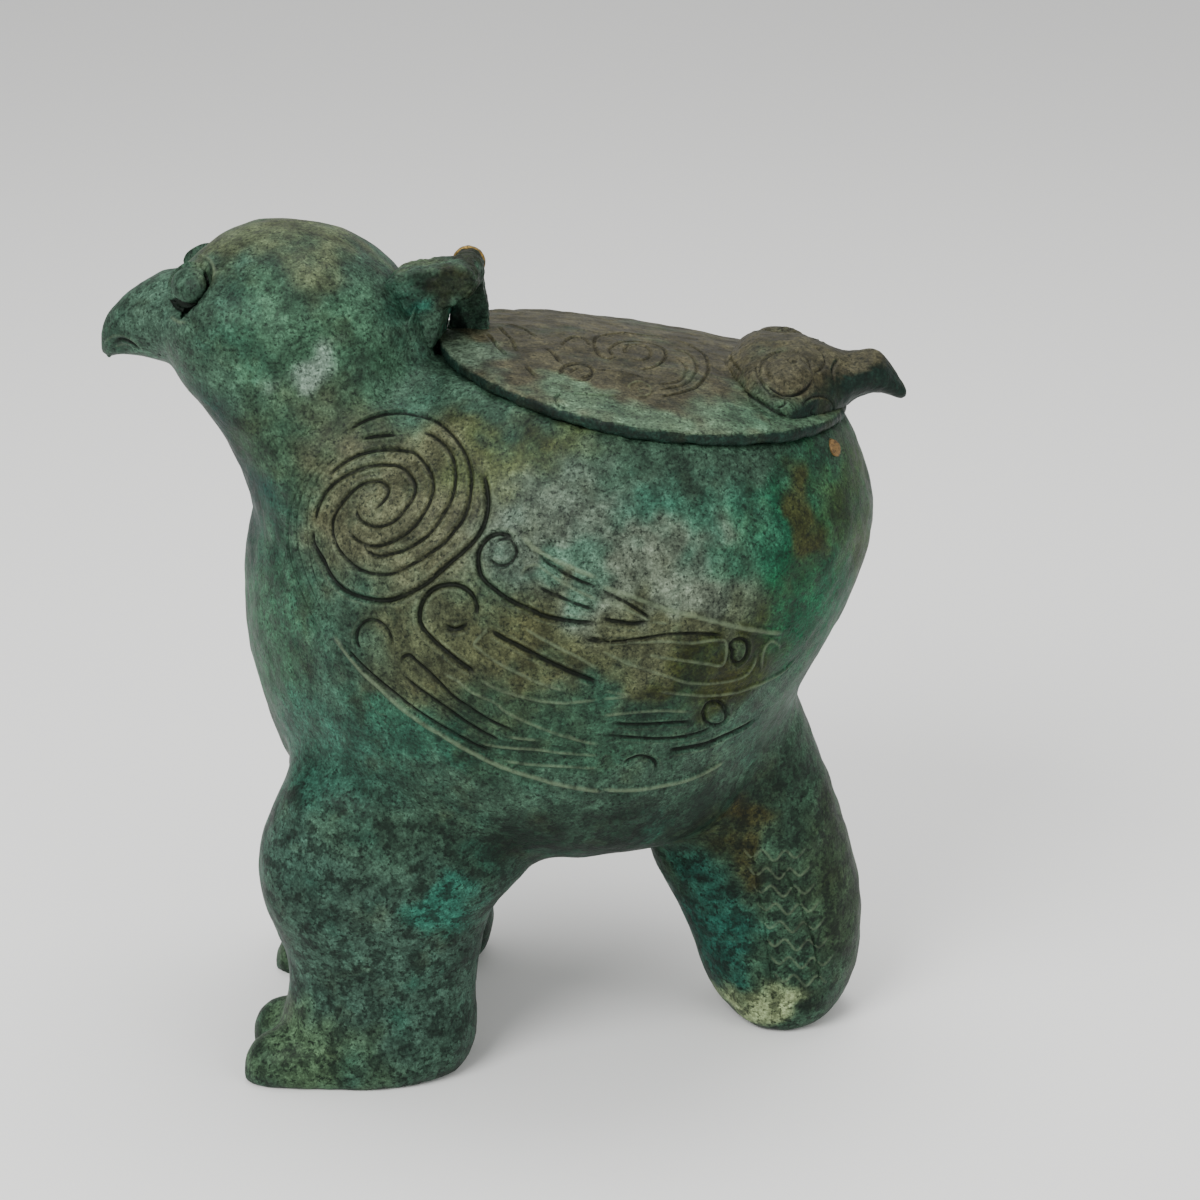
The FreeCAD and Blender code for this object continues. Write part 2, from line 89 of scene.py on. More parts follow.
# The breast medallion's spiral, traced in its window.
MEDALLION_OUTER_SPIRAL = (
    (675, 838), (735, 800), (785, 745), (797, 695), (770, 652), (715, 624),
    (650, 622), (590, 642), (530, 685), (480, 740), (425, 810), (392, 880),
    (385, 960), (400, 1040), (440, 1120), (500, 1185), (570, 1240), (650, 1268),
    (740, 1280), (830, 1265), (920, 1222), (1010, 1172), (1100, 1112),
    (1180, 1050), (1250, 965), (1305, 890), (1340, 800), (1358, 700),
    (1366, 610), (1352, 520), (1322, 430), (1280, 355), (1220, 280),
    (1140, 208), (1060, 168), (960, 145), (860, 132), (760, 140), (660, 165),
    (560, 210), (470, 270),
)
MEDALLION_SECOND_SPIRAL = (
    (570, 800), (575, 860), (605, 905), (655, 935), (720, 947), (800, 925),
    (870, 880), (925, 815), (970, 750), (985, 690), (975, 635), (930, 575),
    (865, 530), (790, 508), (710, 500), (620, 515), (540, 545), (450, 590),
    (370, 650), (310, 730), (270, 820), (245, 920),
)
MEDALLION_THIRD_SPIRAL = (
    (500, 965), (550, 1025), (620, 1065), (700, 1078), (790, 1058),
    (880, 1018), (960, 960), (1020, 890), (1070, 805), (1095, 740),
    (1108, 680), (1100, 610), (1075, 545), (1025, 475), (970, 430),
    (900, 412), (810, 400), (720, 400), (640, 412), (560, 435), (480, 475),
    (400, 530), (330, 600),
)
MEDALLION_FOURTH_SPIRAL = (
    (600, 1085), (660, 1130), (730, 1150), (820, 1130), (900, 1108),
    (980, 1065), (1060, 1010), (1120, 940), (1170, 860), (1215, 780),
    (1245, 690), (1255, 600), (1248, 510), (1225, 430), (1170, 355),
    (1090, 295), (1000, 262),
)
MEDALLION_TOP_LINE = ((560, 325), (640, 308), (700, 301), (780, 296), (860, 298))
MEDALLION_BORDER = (
    (235, 940), (235, 1040), (265, 1110), (310, 1180), (350, 1270),
    (410, 1350), (490, 1408), (580, 1440), (680, 1462), (780, 1462),
    (880, 1430), (960, 1390), (1060, 1330), (1150, 1250), (1240, 1170),
    (1310, 1110), (1390, 1030), (1440, 950), (1470, 860), (1480, 760),
    (1470, 650), (1440, 540),
)
BREAST_SWEEPS = (
    ((400, 400), (300, 480), (210, 600), (150, 720), (120, 850), (115, 980),
     (130, 1100), (170, 1250), (230, 1400), (290, 1520), (370, 1640)),
    ((330, 380), (230, 500), (150, 620), (90, 760), (60, 900), (60, 1050),
     (80, 1200), (130, 1350), (190, 1500), (270, 1650)),
    ((430, 420), (340, 500), (270, 590), (220, 700), (195, 830), (190, 960),
     (200, 1080), (220, 1200), (260, 1330), (330, 1450)),
)
# The medallion's rounded swell: its middle and half sizes in photo pixels, its
# height in millimetres and how steeply it starts.
MEDALLION_MIDDLE = (392, 500)
MEDALLION_HALF_SIZES = (92, 108)
MEDALLION_SWELL = 2.4
MEDALLION_STEEPNESS = 1.35

# The wing's scrolls and feathers near the shoulder, traced in their window.
SHOULDER_DEEP_GROOVES = (
    ((1080, 130), (1040, 95), (975, 78), (910, 110), (868, 170), (858, 240),
     (880, 330), (950, 400), (1050, 470), (1160, 520), (1250, 560),
     (1340, 580), (1450, 595), (1568, 600)),
    ((845, 570), (850, 500), (820, 430), (760, 385), (690, 375), (610, 395),
     (550, 450), (522, 520), (520, 590), (545, 640), (600, 700), (680, 770),
     (770, 840), (860, 895)),
    ((920, 630), (1010, 690), (1110, 740), (1210, 795), (1300, 840),
     (1400, 885), (1568, 950)),
    ((650, 585), (680, 620), (725, 638), (775, 620), (805, 580)),
)
SHOULDER_GROOVES = (
    ((920, 190), (935, 235), (975, 262), (1020, 262), (1060, 235), (1082, 190),
     (1070, 140), (1030, 110), (980, 118), (950, 150)),
    ((1190, 370), (1240, 405), (1340, 450), (1450, 495), (1568, 535)),
    ((1200, 200), (1300, 270), (1420, 340), (1568, 400)),
    ((345, 745), (355, 690), (320, 620), (260, 580), (200, 590), (160, 640),
     (155, 710), (190, 770)),
    ((405, 850), (420, 800), (460, 785), (500, 820), (570, 880), (640, 950),
     (720, 1030), (800, 1085), (900, 1150), (1000, 1200), (1090, 1240)),
    ((420, 900), (500, 970), (600, 1040), (700, 1110), (800, 1180),
     (900, 1240), (1000, 1290)),
    ((90, 740), (180, 840), (280, 930), (380, 1010), (480, 1090), (600, 1170),
     (720, 1240), (850, 1310), (950, 1350)),
    ((250, 1005), (205, 1010), (215, 1060), (245, 1110), (300, 1150),
     (370, 1140)),
    ((1470, 670), (1568, 700), (1640, 712)),
)
SHOULDER_RIDGES = (
    ((1105, 340), (1125, 290), (1165, 262), (1215, 268), (1300, 330),
     (1420, 400), (1568, 470)),
    ((920, 590), (915, 630), (870, 680), (840, 720), (870, 750), (980, 830),
     (1100, 890), (1230, 950), (1390, 998)),
    ((1110, 610), (1200, 670), (1330, 740), (1450, 800), (1568, 870)),
    ((860, 915), (960, 975), (1080, 1015), (1200, 1045), (1330, 1060),
     (1430, 1055), (1568, 1040)),
    ((640, 880), (740, 930), (830, 1000), (960, 1060), (1020, 1110),
     (1120, 1160), (1250, 1215), (1400, 1265), (1568, 1305)),
    ((1000, 1250), (1100, 1265), (1230, 1280)),
    ((860, 1290), (960, 1310), (1100, 1325), (1200, 1330), (1350, 1350),
     (1568, 1365)),
    ((1000, 1395), (1150, 1415), (1300, 1425), (1568, 1440)),
)
SHOULDER_BORDER_RIDGES = (
    ((1100, 80), (1150, 130), (1200, 175), (1300, 230), (1420, 285),
     (1568, 340)),
    ((20, 660), (60, 720), (130, 810), (200, 890), (290, 970), (350, 1030),
     (430, 1100), (540, 1180), (640, 1240), (740, 1300), (840, 1355),
     (950, 1410), (1080, 1460), (1200, 1495), (1320, 1530), (1450, 1555),
     (1600, 1575)),
)

# The wing's feathers and loops towards the tail, traced in their window.
REAR_DEEP_GROOVES = (
    ((220, 333), (300, 355), (430, 372), (530, 352)),
    ((620, 1110), (760, 1090), (860, 1065), (960, 1020), (1060, 970),
     (1140, 920)),
)
REAR_GROOVES = (
    ((230, 175), (370, 240), (450, 290), (540, 350)),
    ((230, 305), (260, 315), (320, 325)),
    ((110, 450), (180, 470), (260, 480), (400, 470), (500, 455), (620, 435),
     (740, 430), (860, 432), (960, 440)),
    ((1000, 530), (990, 490), (1030, 460), (1080, 470), (1090, 520),
     (1070, 570), (1030, 600), (1000, 570), (1005, 530)),
    ((830, 880), (860, 830), (920, 825), (960, 870), (960, 930), (900, 960),
     (850, 940), (830, 880)),
    ((360, 1200), (400, 1160), (470, 1140), (540, 1160), (560, 1200),
     (540, 1240)),
    ((280, 950), (450, 958), (600, 950), (780, 940)),
    ((230, 1020), (380, 1030), (560, 1040), (700, 1030), (820, 1000),
     (900, 960)),
)
REAR_RIDGES = (
    ((220, 218), (300, 250), (430, 305), (540, 355), (665, 370)),
    ((250, 490), (400, 478), (600, 470), (760, 480), (880, 465), (950, 465),
     (965, 520), (950, 590), (920, 612), (850, 600), (740, 585), (600, 565),
     (470, 540)),
    ((230, 520), (280, 545), (400, 600), (520, 640), (640, 680), (740, 710),
     (860, 715), (980, 700), (1070, 670), (1120, 610), (1140, 540)),
    ((1165, 640), (1170, 560), (1190, 500), (1225, 468), (1265, 490),
     (1270, 530)),
    ((560, 760), (700, 775), (850, 785), (1000, 770), (1100, 740),
     (1200, 700), (1300, 640), (1370, 570)),
    ((230, 750), (350, 775), (440, 785)),
    ((230, 805), (300, 800), (430, 785)),
    ((230, 902), (300, 895), (450, 880), (600, 872), (760, 880)),
    ((0, 990), (100, 1040), (240, 1070)),
    ((230, 1130), (300, 1135)),
)
REAR_BORDER_RIDGES = (
    ((230, 150), (400, 205), (520, 250), (640, 290), (760, 320), (880, 350),
     (1000, 380), (1100, 400), (1200, 415), (1290, 425)),
    ((230, 1328), (300, 1332), (450, 1330), (580, 1310), (720, 1280),
     (840, 1230), (960, 1160)),
)

# The lid's scrolls, traced in the windows of its rear and of its front.
LID_REAR_GROOVES = (
    ((350, 222), (352, 200), (380, 188), (425, 189), (455, 208), (452, 234),
     (425, 246), (385, 246)),
    ((300, 232), (285, 205), (320, 184), (380, 173), (445, 176), (495, 195),
     (518, 222), (508, 252), (470, 275), (420, 285)),
    ((320, 236), (275, 240), (236, 216), (222, 182), (238, 152), (300, 141),
     (400, 144), (500, 155), (580, 174), (640, 200), (682, 236), (696, 276),
     (682, 322), (640, 360), (575, 386), (500, 400)),
    ((555, 198), (610, 222), (642, 258), (646, 292), (624, 326), (588, 352),
     (540, 366), (488, 370)),
    ((560, 236), (596, 262), (603, 298), (578, 330), (532, 348), (490, 350)),
    ((85, 302), (100, 276), (150, 262), (200, 274), (217, 300), (196, 326),
     (150, 332), (118, 318)),
    ((120, 300), (150, 284), (182, 296)),
    ((90, 192), (110, 166), (150, 155), (190, 167), (206, 190)),
    ((20, 196), (60, 226), (84, 262)),
    ((96, 378), (64, 402), (80, 440), (120, 444)),
    ((130, 384), (230, 392), (330, 398)),
    ((240, 290), (320, 300), (400, 318), (470, 330)),
)
LID_REAR_RIDGES = (
    ((372, 372), (368, 352), (395, 342), (435, 347), (458, 366), (448, 388),
     (412, 396), (384, 386)),
    ((404, 358), (414, 374), (440, 374)),
)
LID_FRONT_GROOVES = (
    ((560, 640), (600, 690), (640, 740), (690, 790)),
    ((700, 585), (800, 610), (890, 665)),
    ((1078, 700), (1100, 676), (1160, 668), (1214, 684), (1232, 720)),
    ((980, 750), (1010, 790), (1045, 830)),
    ((1040, 910), (1064, 872), (1120, 850), (1190, 850), (1248, 874),
     (1246, 912), (1180, 932)),
    ((820, 850), (850, 890), (885, 930)),
    ((640, 600), (720, 680), (760, 760)),
)

# The relief of the bird's head on the lid, traced in the lid's rear window.
LID_BIRD_DEEP_GROOVES = (
    ((742, 255), (768, 300), (810, 345), (852, 386), (905, 420), (965, 455),
     (1030, 488)),
    ((940, 352), (985, 384), (1040, 392), (1092, 372), (1122, 330)),
)
LID_BIRD_GROOVES = (
    ((882, 270), (900, 320), (930, 366), (970, 398), (1020, 408), (1052, 436),
     (1066, 474)),
    ((905, 318), (908, 270), (945, 232), (1000, 212), (1060, 214), (1108, 246),
     (1122, 292)),
    ((1018, 262), (1030, 246), (1050, 250), (1054, 268), (1038, 276),
     (1022, 268)),
    ((1132, 188), (1168, 222), (1176, 262), (1156, 288), (1128, 296)),
    ((950, 410), (972, 394), (1004, 402), (1014, 424), (990, 440), (966, 430)),
    ((1086, 440), (1108, 410), (1150, 396), (1196, 410), (1212, 446),
     (1194, 480), (1150, 490), (1120, 466), (1136, 440)),
    ((1230, 240), (1208, 290), (1216, 340)),
    ((800, 160), (780, 200), (790, 250), (830, 300)),
)
LID_BIRD_EYE = (1032, 305)
LID_BIRD_EYE_RADIUS = 8.2
LID_BIRD_EYE_RISE = 2.2

# The face: the mouth's edge, the socket under the eye and the lids over it,
# traced in the head's window.
FACE_DEEP_GROOVES = (
    ((98, 915), (150, 868), (200, 850), (250, 860), (300, 893), (350, 940)),
)
FACE_RIDGES = (
    ((700, 292), (760, 312), (800, 350), (815, 410), (800, 470)),
    ((520, 690), (590, 735), (660, 730)),
)
UNDER_MOUTH = (
    (60, 960), (98, 925), (150, 880), (200, 862), (250, 872), (300, 905),
    (350, 950), (410, 1000), (300, 1040), (60, 1040),
)
MANDIBLE_RECESS = 0.9

# The tail's groove and its feathered herringbone, traced in the tail's window.
TAIL_GROOVES = (
    ((560, 880), (590, 950), (640, 1070), (680, 1190), (700, 1320),
     (704, 1400)),
    ((430, 790), (450, 900), (470, 1020), (490, 1140), (505, 1260),
     (520, 1380)),
    ((770, 880), (790, 1000), (800, 1120), (790, 1240), (770, 1340)),
)
TAIL_CHEVRON_LEVELS = (830, 900, 970, 1040, 1110, 1180, 1250, 1320)
TAIL_CHEVRON = (
    (-150, -26), (-108, 18), (-66, -8), (-20, 34), (22, -6), (64, 22),
    (112, -30),
)
TAIL_MIDDLE_LINE = ((830, 545), (1400, 690))

# The regions that carry ornament, as outlines in photo pixels.
FACE_REGION = (
    (97, 350), (100, 325), (112, 300), (140, 272), (172, 254), (196, 244),
    (222, 250), (232, 280), (226, 310), (210, 330), (190, 344), (176, 366),
    (160, 372), (140, 366), (100, 366),
)
TAIL_REGION = (
    (735, 800), (770, 790), (800, 800), (830, 840), (846, 890), (848, 940),
    (838, 980), (815, 1006), (790, 1018), (765, 1010), (745, 985), (728, 940),
    (716, 890), (716, 840),
)
FLANK_REGION = (
    (352, 400), (400, 388), (450, 394), (488, 424), (506, 466), (510, 500),
    (524, 510), (566, 534), (612, 560), (680, 588), (740, 604), (796, 616),
    (816, 634), (812, 664), (794, 698), (764, 736), (724, 776), (690, 800),
    (650, 810), (600, 812), (540, 804), (476, 786), (424, 760), (380, 730),
    (344, 694), (314, 656), (292, 616), (274, 570), (266, 520), (270, 466),
    (288, 426), (318, 408),
)

# Lengths are in millimetres, unless a comment says otherwise. In what follows, a
# pair of levels, reaches, depths or facings says where an effect starts and where
# it is full. A facing is how squarely a surface faces a way, from -1 to 1.

# How a CAD node is cast as a skin: its voxel, the rounds of smoothing and, where a
# third number stands, the height of its lumps.
BODY_CAST = (2.1, 5)
LID_CAST = (1.5, 3)
BIRD_CAST = (0.7, 3, 0.12)
LUG_CAST = (0.45, 5, 0.25)
ARM_CAST = (0.45, 5, 0.2)
COLLAR_CAST = (0.45, 2, 0.05)
PLUG_CAST = (0.45, 3, 0.1)
EYE_CAST = (0.5, 3, 0.12)
MERGE_DISTANCE = 0.01
SMOOTH_FACTOR = 0.5

# Lumps of the casting: the body's heights and wavelengths, and the other pieces'
# as shares of their height and counts of their voxels.
BODY_LUMPS = ((0.30, 26), (0.14, 9))
PIECE_LUMPS = ((1.0, 10), (0.5, 4.5))
LUMP_SEED = 7
PIECE_LUMP_SEED = 9
LUMP_WAVES = 14
LUMP_SPREAD = (0.7, 1.5)

# The soft hollows that are left where the CAD's forms join: how deep a crease
# counts, how it is softened, and where it is kept.
CREASE_DEPTH = 0.10
CREASE_GROWTH = 1.15
CREASE_GROWTH_ROUNDS = 5
CREASE_FADE_ROUNDS = 3
CREASE_ROUNDS = 60
TOE_LEVEL = 42.0
TOE_CREASE_SHARE = 0.12
RIM_CLEARANCE = 5.0
LID_CLEARANCE = 78.0
EYE_CLEARANCE = 13.0
EVENING_ROUNDS = 24
EVENING_FACTORS = (0.5, -0.53)
EVENING_DEPTHS = (-6.0, 0.0)

# Traced lines: the last millimetres where they fade and the share that is left at
# the end. The lip beside a line is a share of its height, with its place and width
# in half widths of the line.
TRACE_FADE = 4.0
LID_TRACE_FADE = 2.0
TRACE_END_SHARE = 0.15
TRACE_LIP = (0.28, 1.9, 0.8)
MIN_FACING = 0.12
HIDDEN_DEPTH = -99.0

# The ornament panels, and the skin carved back under them. A panel sinks into the
# skin at its outline, and a groove in it uses no more than a share of the carving.
CARVE_DEPTH = 1.9
CARVE_REACHES = (4.6, 8.1)
CARVE_USED_SHARE = 0.8
CARVE_SLACK = 0.05
PANEL_SINK = 0.6
PANEL_LIFT = 0.12
PANEL_REACH = 3.4
PANEL_WALL = 2.6
PANEL_SMOOTHING = 4
PANEL_CUTS = 4
FLANK_CUTS = 3
MOUTH_REACH = 2.0

# The eyeball and the hollow beside it, sunk deeper and painted with shadow below
# and behind the ball, in photo pixels and millimetres.
EYE_MIDDLE = (189.5, 285.5)
EYE_BALL_PIXELS = 17.5
EYE_BALL_RISE = 2.4
EYE_HOLLOW = 0.9
EYE_HOLLOW_WAY = (0.62, 0.78)
EYE_HOLLOW_SHARES = (0.95, 1.10)
EYE_DARK_PIXELS = (-4.0, 2.0)
EYE_DARK_DEPTH = 0.8
# Painted shadow: the relief that marks the eye's shadowed side.
EYE_PAINTED_SHADOW = -1.2
EYE_MIN_FACING = 0.1
FAR_EYE_DROP = 3.6
FAR_EYE_REACHES = (20.0, 11.0)

# The lid, the painted shade on its rim's side and the skin under the rim, as the
# photograph shows them. The saddle is the stretch of skin between the neck and the lid.
LID_CUTS = 2
LID_TILT = 7.0
LID_HALF_RISE = 4.0
LID_TOP_DROP = 4.0
LID_EDGE_REACHES = (60.0, 62.0)
LID_EDGE_FACINGS = (0.82, 0.57)
LID_TOP_FACINGS = (0.5, 0.8)
LID_CUT_FACING = 0.8
LID_RADIUS = 71.9
LID_LENGTH_SHARE = 0.98
LID_WIDTH_SHARE = 0.93
LID_RISE = 2.0
LID_HINGE_RISE = 5.5
LID_HINGE_POWER = 1.2
LID_HINGE_MOST = 1.25
SEAT_LOW_LEVELS = (-30.0, -3.0)
SEAT_HIGH_LEVELS = (26.0, 13.0)
SEAT_REACHES = (96.0, 78.0)
SADDLE_RISE = 8.0
SADDLE_REAR = (-21.0, -25.0)
SADDLE_FRONT = (-42.0, -34.0)
SADDLE_SIDES = (26.0, 14.0)
SADDLE_BOTTOM = (240.0, 246.0)
SADDLE_TOP = (260.0, 254.0)

# Swells along the lid bird's head: height, place and half length.
BIRD_TOP_LEVELS = (240.0, 245.0)
BIRD_TOP_SWELLS = ((2.4, 82.0, 8.0), (-1.4, 95.0, 6.0))
BIRD_BEAK_SWELLS = ((1.6, 126.0, 6.0),)
BIRD_TIP_DROP = 3.2
BIRD_TIP = (129.0, 138.0)

# The hinge's lug, slanted and with its root down to the neck, and the arm.
LUG_SKEW = 0.15
LUG_FAR_END = 4.0
LUG_END_SWELL = 0.8
LUG_END = (-13.5, -14.5)
LUG_ROOT_DROP = 11.0
LUG_ROOT_LEVELS = (273.0, 266.0)
LUG_ROOT = (-15.5, -20.0)
PIN_CUT_BACK = 0.5
ARM_SPREAD = 0.40
ARM_MIDDLE = -9.5
ARM_FOOT_LEVELS = (270.0, 262.0)
PLUG_PIXEL = (829, 446)

# Each light: name, place and width in metres, and power in watts.
STUDIO_LIGHTS = (
    ("key_light", (-0.7, -1.1, 1.25), 0.9, 26.0),
    ("fill_light", (1.2, -1.2, 0.7), 1.2, 8.0),
    ("top_light", (0.1, 0.3, 1.6), 1.0, 14.0),
)
STUDIO_STRENGTH = 0.75
CLIP_START = 0.05

# Patches of patina, of painted shade and of painted highlight: middle and half sizes,
# colour and strength. The body's are those of the left side, which the right side
# repeats. The lid's lie where they are.
BODY_PATCHES = (
    ((-40, -55, 50), (60, 50, 50), "2d4238", 0.8),
    ((95, -20, 60), (50, 50, 70), "294030", 0.8),
    # Painted shade: a dark band round the underside of the belly.
    ((20, -20, 96), (80, 70, 26), "0f2117", 0.95),
    ((-90, -20, 160), (34, 60, 52), "2a4a36", 0.8),
    ((-70, -60, 122), (36, 40, 24), "21463a", 0.6),
    ((-95, -20, 212), (30, 50, 34), "0b2621", 0.95),
    ((-62, -45, 228), (30, 30, 24), "324632", 0.6),
    ((-70, 0, 292), (46, 44, 13), "474d34", 0.7),
    ((-58, -40, 264), (34, 24, 18), "375641", 0.8),
    # Painted highlight: a pale spot where the light shines on the neck.
    ((-62, -44, 247), (9, 12, 11), "77887c", 0.5),
    ((-30, -8, 262), (8, 10, 8), "1a5144", 0.6),
    ((-14, -6, 276), (16, 16, 9), "171b10", 0.95),
    ((-12, -9, 252), (8, 10, 5), "1e6a58", 0.9),
    # Painted shadow: a near-black patch in the gap between the hinge lug and the lid's
    # arm.
    ((-21, 0, 260), (5, 12, 6), "080b07", 0.95),
    ((-115, -5, 255), (24, 22, 24), "394f42", 0.7),
    ((15, -88, 205), (62, 30, 28), "4c574b", 0.8),
    ((55, -86, 190), (34, 30, 26), "545c4e", 0.7),
    ((106, -52, 186), (24, 46, 42), "0b3f28", 0.95),
    ((84, -68, 204), (14, 24, 16), "1a523b", 0.6),
    ((62, -80, 218), (22, 20, 9), "2a5c49", 0.5),
    ((30, -88, 196), (12, 20, 9), "265f4c", 0.4),
    ((120, -26, 200), (17, 44, 30), "2b3a1e", 0.8),
    ((102, -52, 208), (7, 12, 15), "33290f", 0.7),
    ((-6, -62, 228), (36, 30, 14), "3d4222", 0.7),
    ((-36, -70, 215), (33, 36, 33), "464835", 0.95),
    ((-8, -86, 168), (38, 30, 32), "3b3f2b", 0.9),
    ((45, -82, 172), (56, 30, 16), "393b25", 0.8),
    ((72, -74, 160), (28, 30, 15), "22270c", 0.9),
    ((22, -82, 142), (60, 34, 16), "1f392a", 0.7),
    ((-30, -80, 138), (24, 24, 14), "1b493a", 0.5),
    ((-22, -72, 72), (17, 16, 11), "1c5244", 0.7),
    ((-28, -72, 36), (16, 14, 11), "1c4e3f", 0.6),
    ((-66, -50, 12), (38, 40, 15), "3d5138", 0.7),
    ((-75, -60, 92), (18, 30, 18), "2b463c", 0.5),
    ((78, -30, 80), (15, 14, 18), "2b260e", 0.8),
    ((68, -22, 36), (18, 22, 36), "14433a", 0.8),
    ((93, -20, 14), (15, 22, 15), "808d66", 0.85),
    ((120, -8, 62), (20, 30, 50), "242e1c", 0.7),
)
LID_PATCHES = (
    ((30, -58, 238), (70, 18, 16), "48604b", 0.8),
    ((-14, -30, 250), (18, 34, 14), "3f5244", 0.7),
    ((100, -40, 232), (26, 34, 14), "345642", 0.6),
    ((40, 10, 245), (50, 40, 16), "3c392a", 0.7),
)
# Painted shade on the side of the lid's rim, where it turns away from the lid's top:
# colour and strength.
LID_RIM_SHADE = ("0a1c17", 0.95)
BODY_BASE = "2b4033"
LID_BASE = "3a3829"
PATCH_REACHES = (1.3, 0.55)
# Wavelength and width in millimetres of the wander of the patches' borders.
PATCH_WANDERS = ((34, 6.0), (11, 3.0))
PATCH_SEED = 40
# The dark blotches cover legs and tail, and little of what is above them.
BLOTCH_LEVELS = (135.0, 95.0)
BLOTCH_LEAST_SHARE = 0.2

# The crust's noises: size in millimetres, detail and roughness.
CRUST_NOISES = {
    "verdigris": (23.0, 5.0, 0.6),
    "earth": (17.0, 5.0, 0.6),
    "cloud": (11.0, 6.0, 0.62),
    "crust": (3.4, 5.0, 0.7),
    "blotch": (5.0, 4.0, 0.65),
    "pit": (1.25, 3.0, 0.7),
    "grain": (0.9, 2.0, 0.6),
}
# Where a noise darkens and lightens the colour: its range and both strengths.
CRUST_STRENGTHS = (
    ("cloud", 0.36, 0.64, 0.56, 1.45),
    ("crust", 0.36, 0.66, 0.56, 1.46),
    ("grain", 0.42, 0.68, 0.88, 1.60),
)
# Where a noise or the ornament's height mixes a colour in: the range from none to
# full, the full share and, where it is the same on every piece, the colour.
VERDIGRIS = (0.53, 0.70, 0.32, "144236")
EARTH = (0.54, 0.70, 0.34, "2c2913")
BLOTCHES = (0.50, 0.44, 0.60)
PITS = (0.47, 0.36, 0.75)
# Painted highlight on the raised lines of the ornament.
RIDGE_HIGHLIGHT = (0.12, 0.70, 0.45)
# Painted shade in the grooves and in the eye's hollow.
GROOVE_SHADE = (-0.20, -0.80, 0.92, "080c08")
# Where the crust's noise weakens and strengthens the painted highlight and shade of
# the ornament, and where it dulls the surface.
CRUST_RELIEF_SHARE = {"From Min": 0.36, "From Max": 0.64, "To Min": 0.55, "To Max": 1.35}
CRUST_GLOSS = {"From Min": 0.35, "From Max": 0.68, "To Min": 0.40, "To Max": 0.62}
CRUST_BUMP = {"Strength": 0.7, "Distance": 0.35 * MM}
PIT_BUMP = {"Strength": 0.8, "Distance": 0.25 * MM}
CRUST_SPECULAR = 0.10

# The plain finishes' grain: its noise, its range and the film's unevenness.
FILM_DETAIL = 6.0
FILM_ROUGHNESS = 0.7
FILM_RANGE = {"From Min": 0.38, "From Max": 0.62}
FILM_BUMP = {"Strength": 0.5, "Distance": 0.2 * MM}
FILM_DULLING = 0.15
FLOOR_ROUGHNESS = 0.9

WORK = {}


def linear(value):
    """An sRGB hex colour as linear red, green and blue."""
    channels = []
    for place in (0, 2, 4):
        share = int(value[place:place + 2], 16) / 255
        channels.append(
            share / 12.92 if share <= 0.04045 else ((share + 0.055) / 1.055) ** 2.4)
    return tuple(channels)


def camera_axes():
    azimuth = math.radians(CAMERA_AZIMUTH)
    elevation = math.radians(CAMERA_ELEVATION)
    back = np.array((
        math.sin(azimuth) * math.cos(elevation),
        -math.cos(azimuth) * math.cos(elevation),
        math.sin(elevation),
    ))
    right = np.array((math.cos(azimuth), math.sin(azimuth), 0.0))
    up = np.cross(back, right)
    place = np.array(CAMERA_TARGET) + back * CAMERA_DISTANCE
    return place, right, up, back


def photo_pixels(points):
    """Where points of the left side, in millimetres, fall in the photograph."""
    place, right, up, back = camera_axes()
    seen = points - place
    depth = -(seen @ back)
    return np.stack((
        PHOTO_SIDE / 2 + CAMERA_FOCAL_PIXELS * (seen @ right) / depth,
        PHOTO_SIDE / 2 - CAMERA_FOCAL_PIXELS * (seen @ up) / depth,
    ), axis=1)


def photo_rays(pixels):
    place, right, up, back = camera_axes()
    across = (pixels[:, :1] - PHOTO_SIDE / 2) / CAMERA_FOCAL_PIXELS
    rise = (PHOTO_SIDE / 2 - pixels[:, 1:]) / CAMERA_FOCAL_PIXELS
    rays = across * right + rise * up - back
    return place, rays / np.linalg.norm(rays, axis=1)[:, None]


def seen_point(surface, pixels):
    """Where the camera's line through a pixel of the photograph meets a surface."""
    place, rays = photo_rays(np.array(pixels, float).reshape(1, 2))
    return surface.ray_cast(Vector(place), Vector(rays[0]))[0]


def window_pixels(points, window):
    """Traced points of an enlarged window as pixels of the photograph."""
    left, top, width, enlarged = window
    return np.array(points, float) * width / enlarged + np.array((left, top))


def smooth_curve(points, step):
    """A Catmull-Rom curve through the points, as samples about a step apart."""
    ends = [2 * points[0] - points[1], 2 * points[-1] - points[-2]]
    held = np.vstack((ends[0], points, ends[1]))
    samples = []
    for before, start, end, after in zip(held, held[1:], held[2:], held[3:]):
        count = max(2, int(np.linalg.norm(end - start) / step))
        for share in np.arange(count) / count:
            samples.append(0.5 * (
                2 * start + (end - before) * share
                + (2 * before - 5 * start + 4 * end - after) * share ** 2
                + (3 * start - before - 3 * end + after) * share ** 3))
    samples.append(points[-1])
    return np.array(samples)


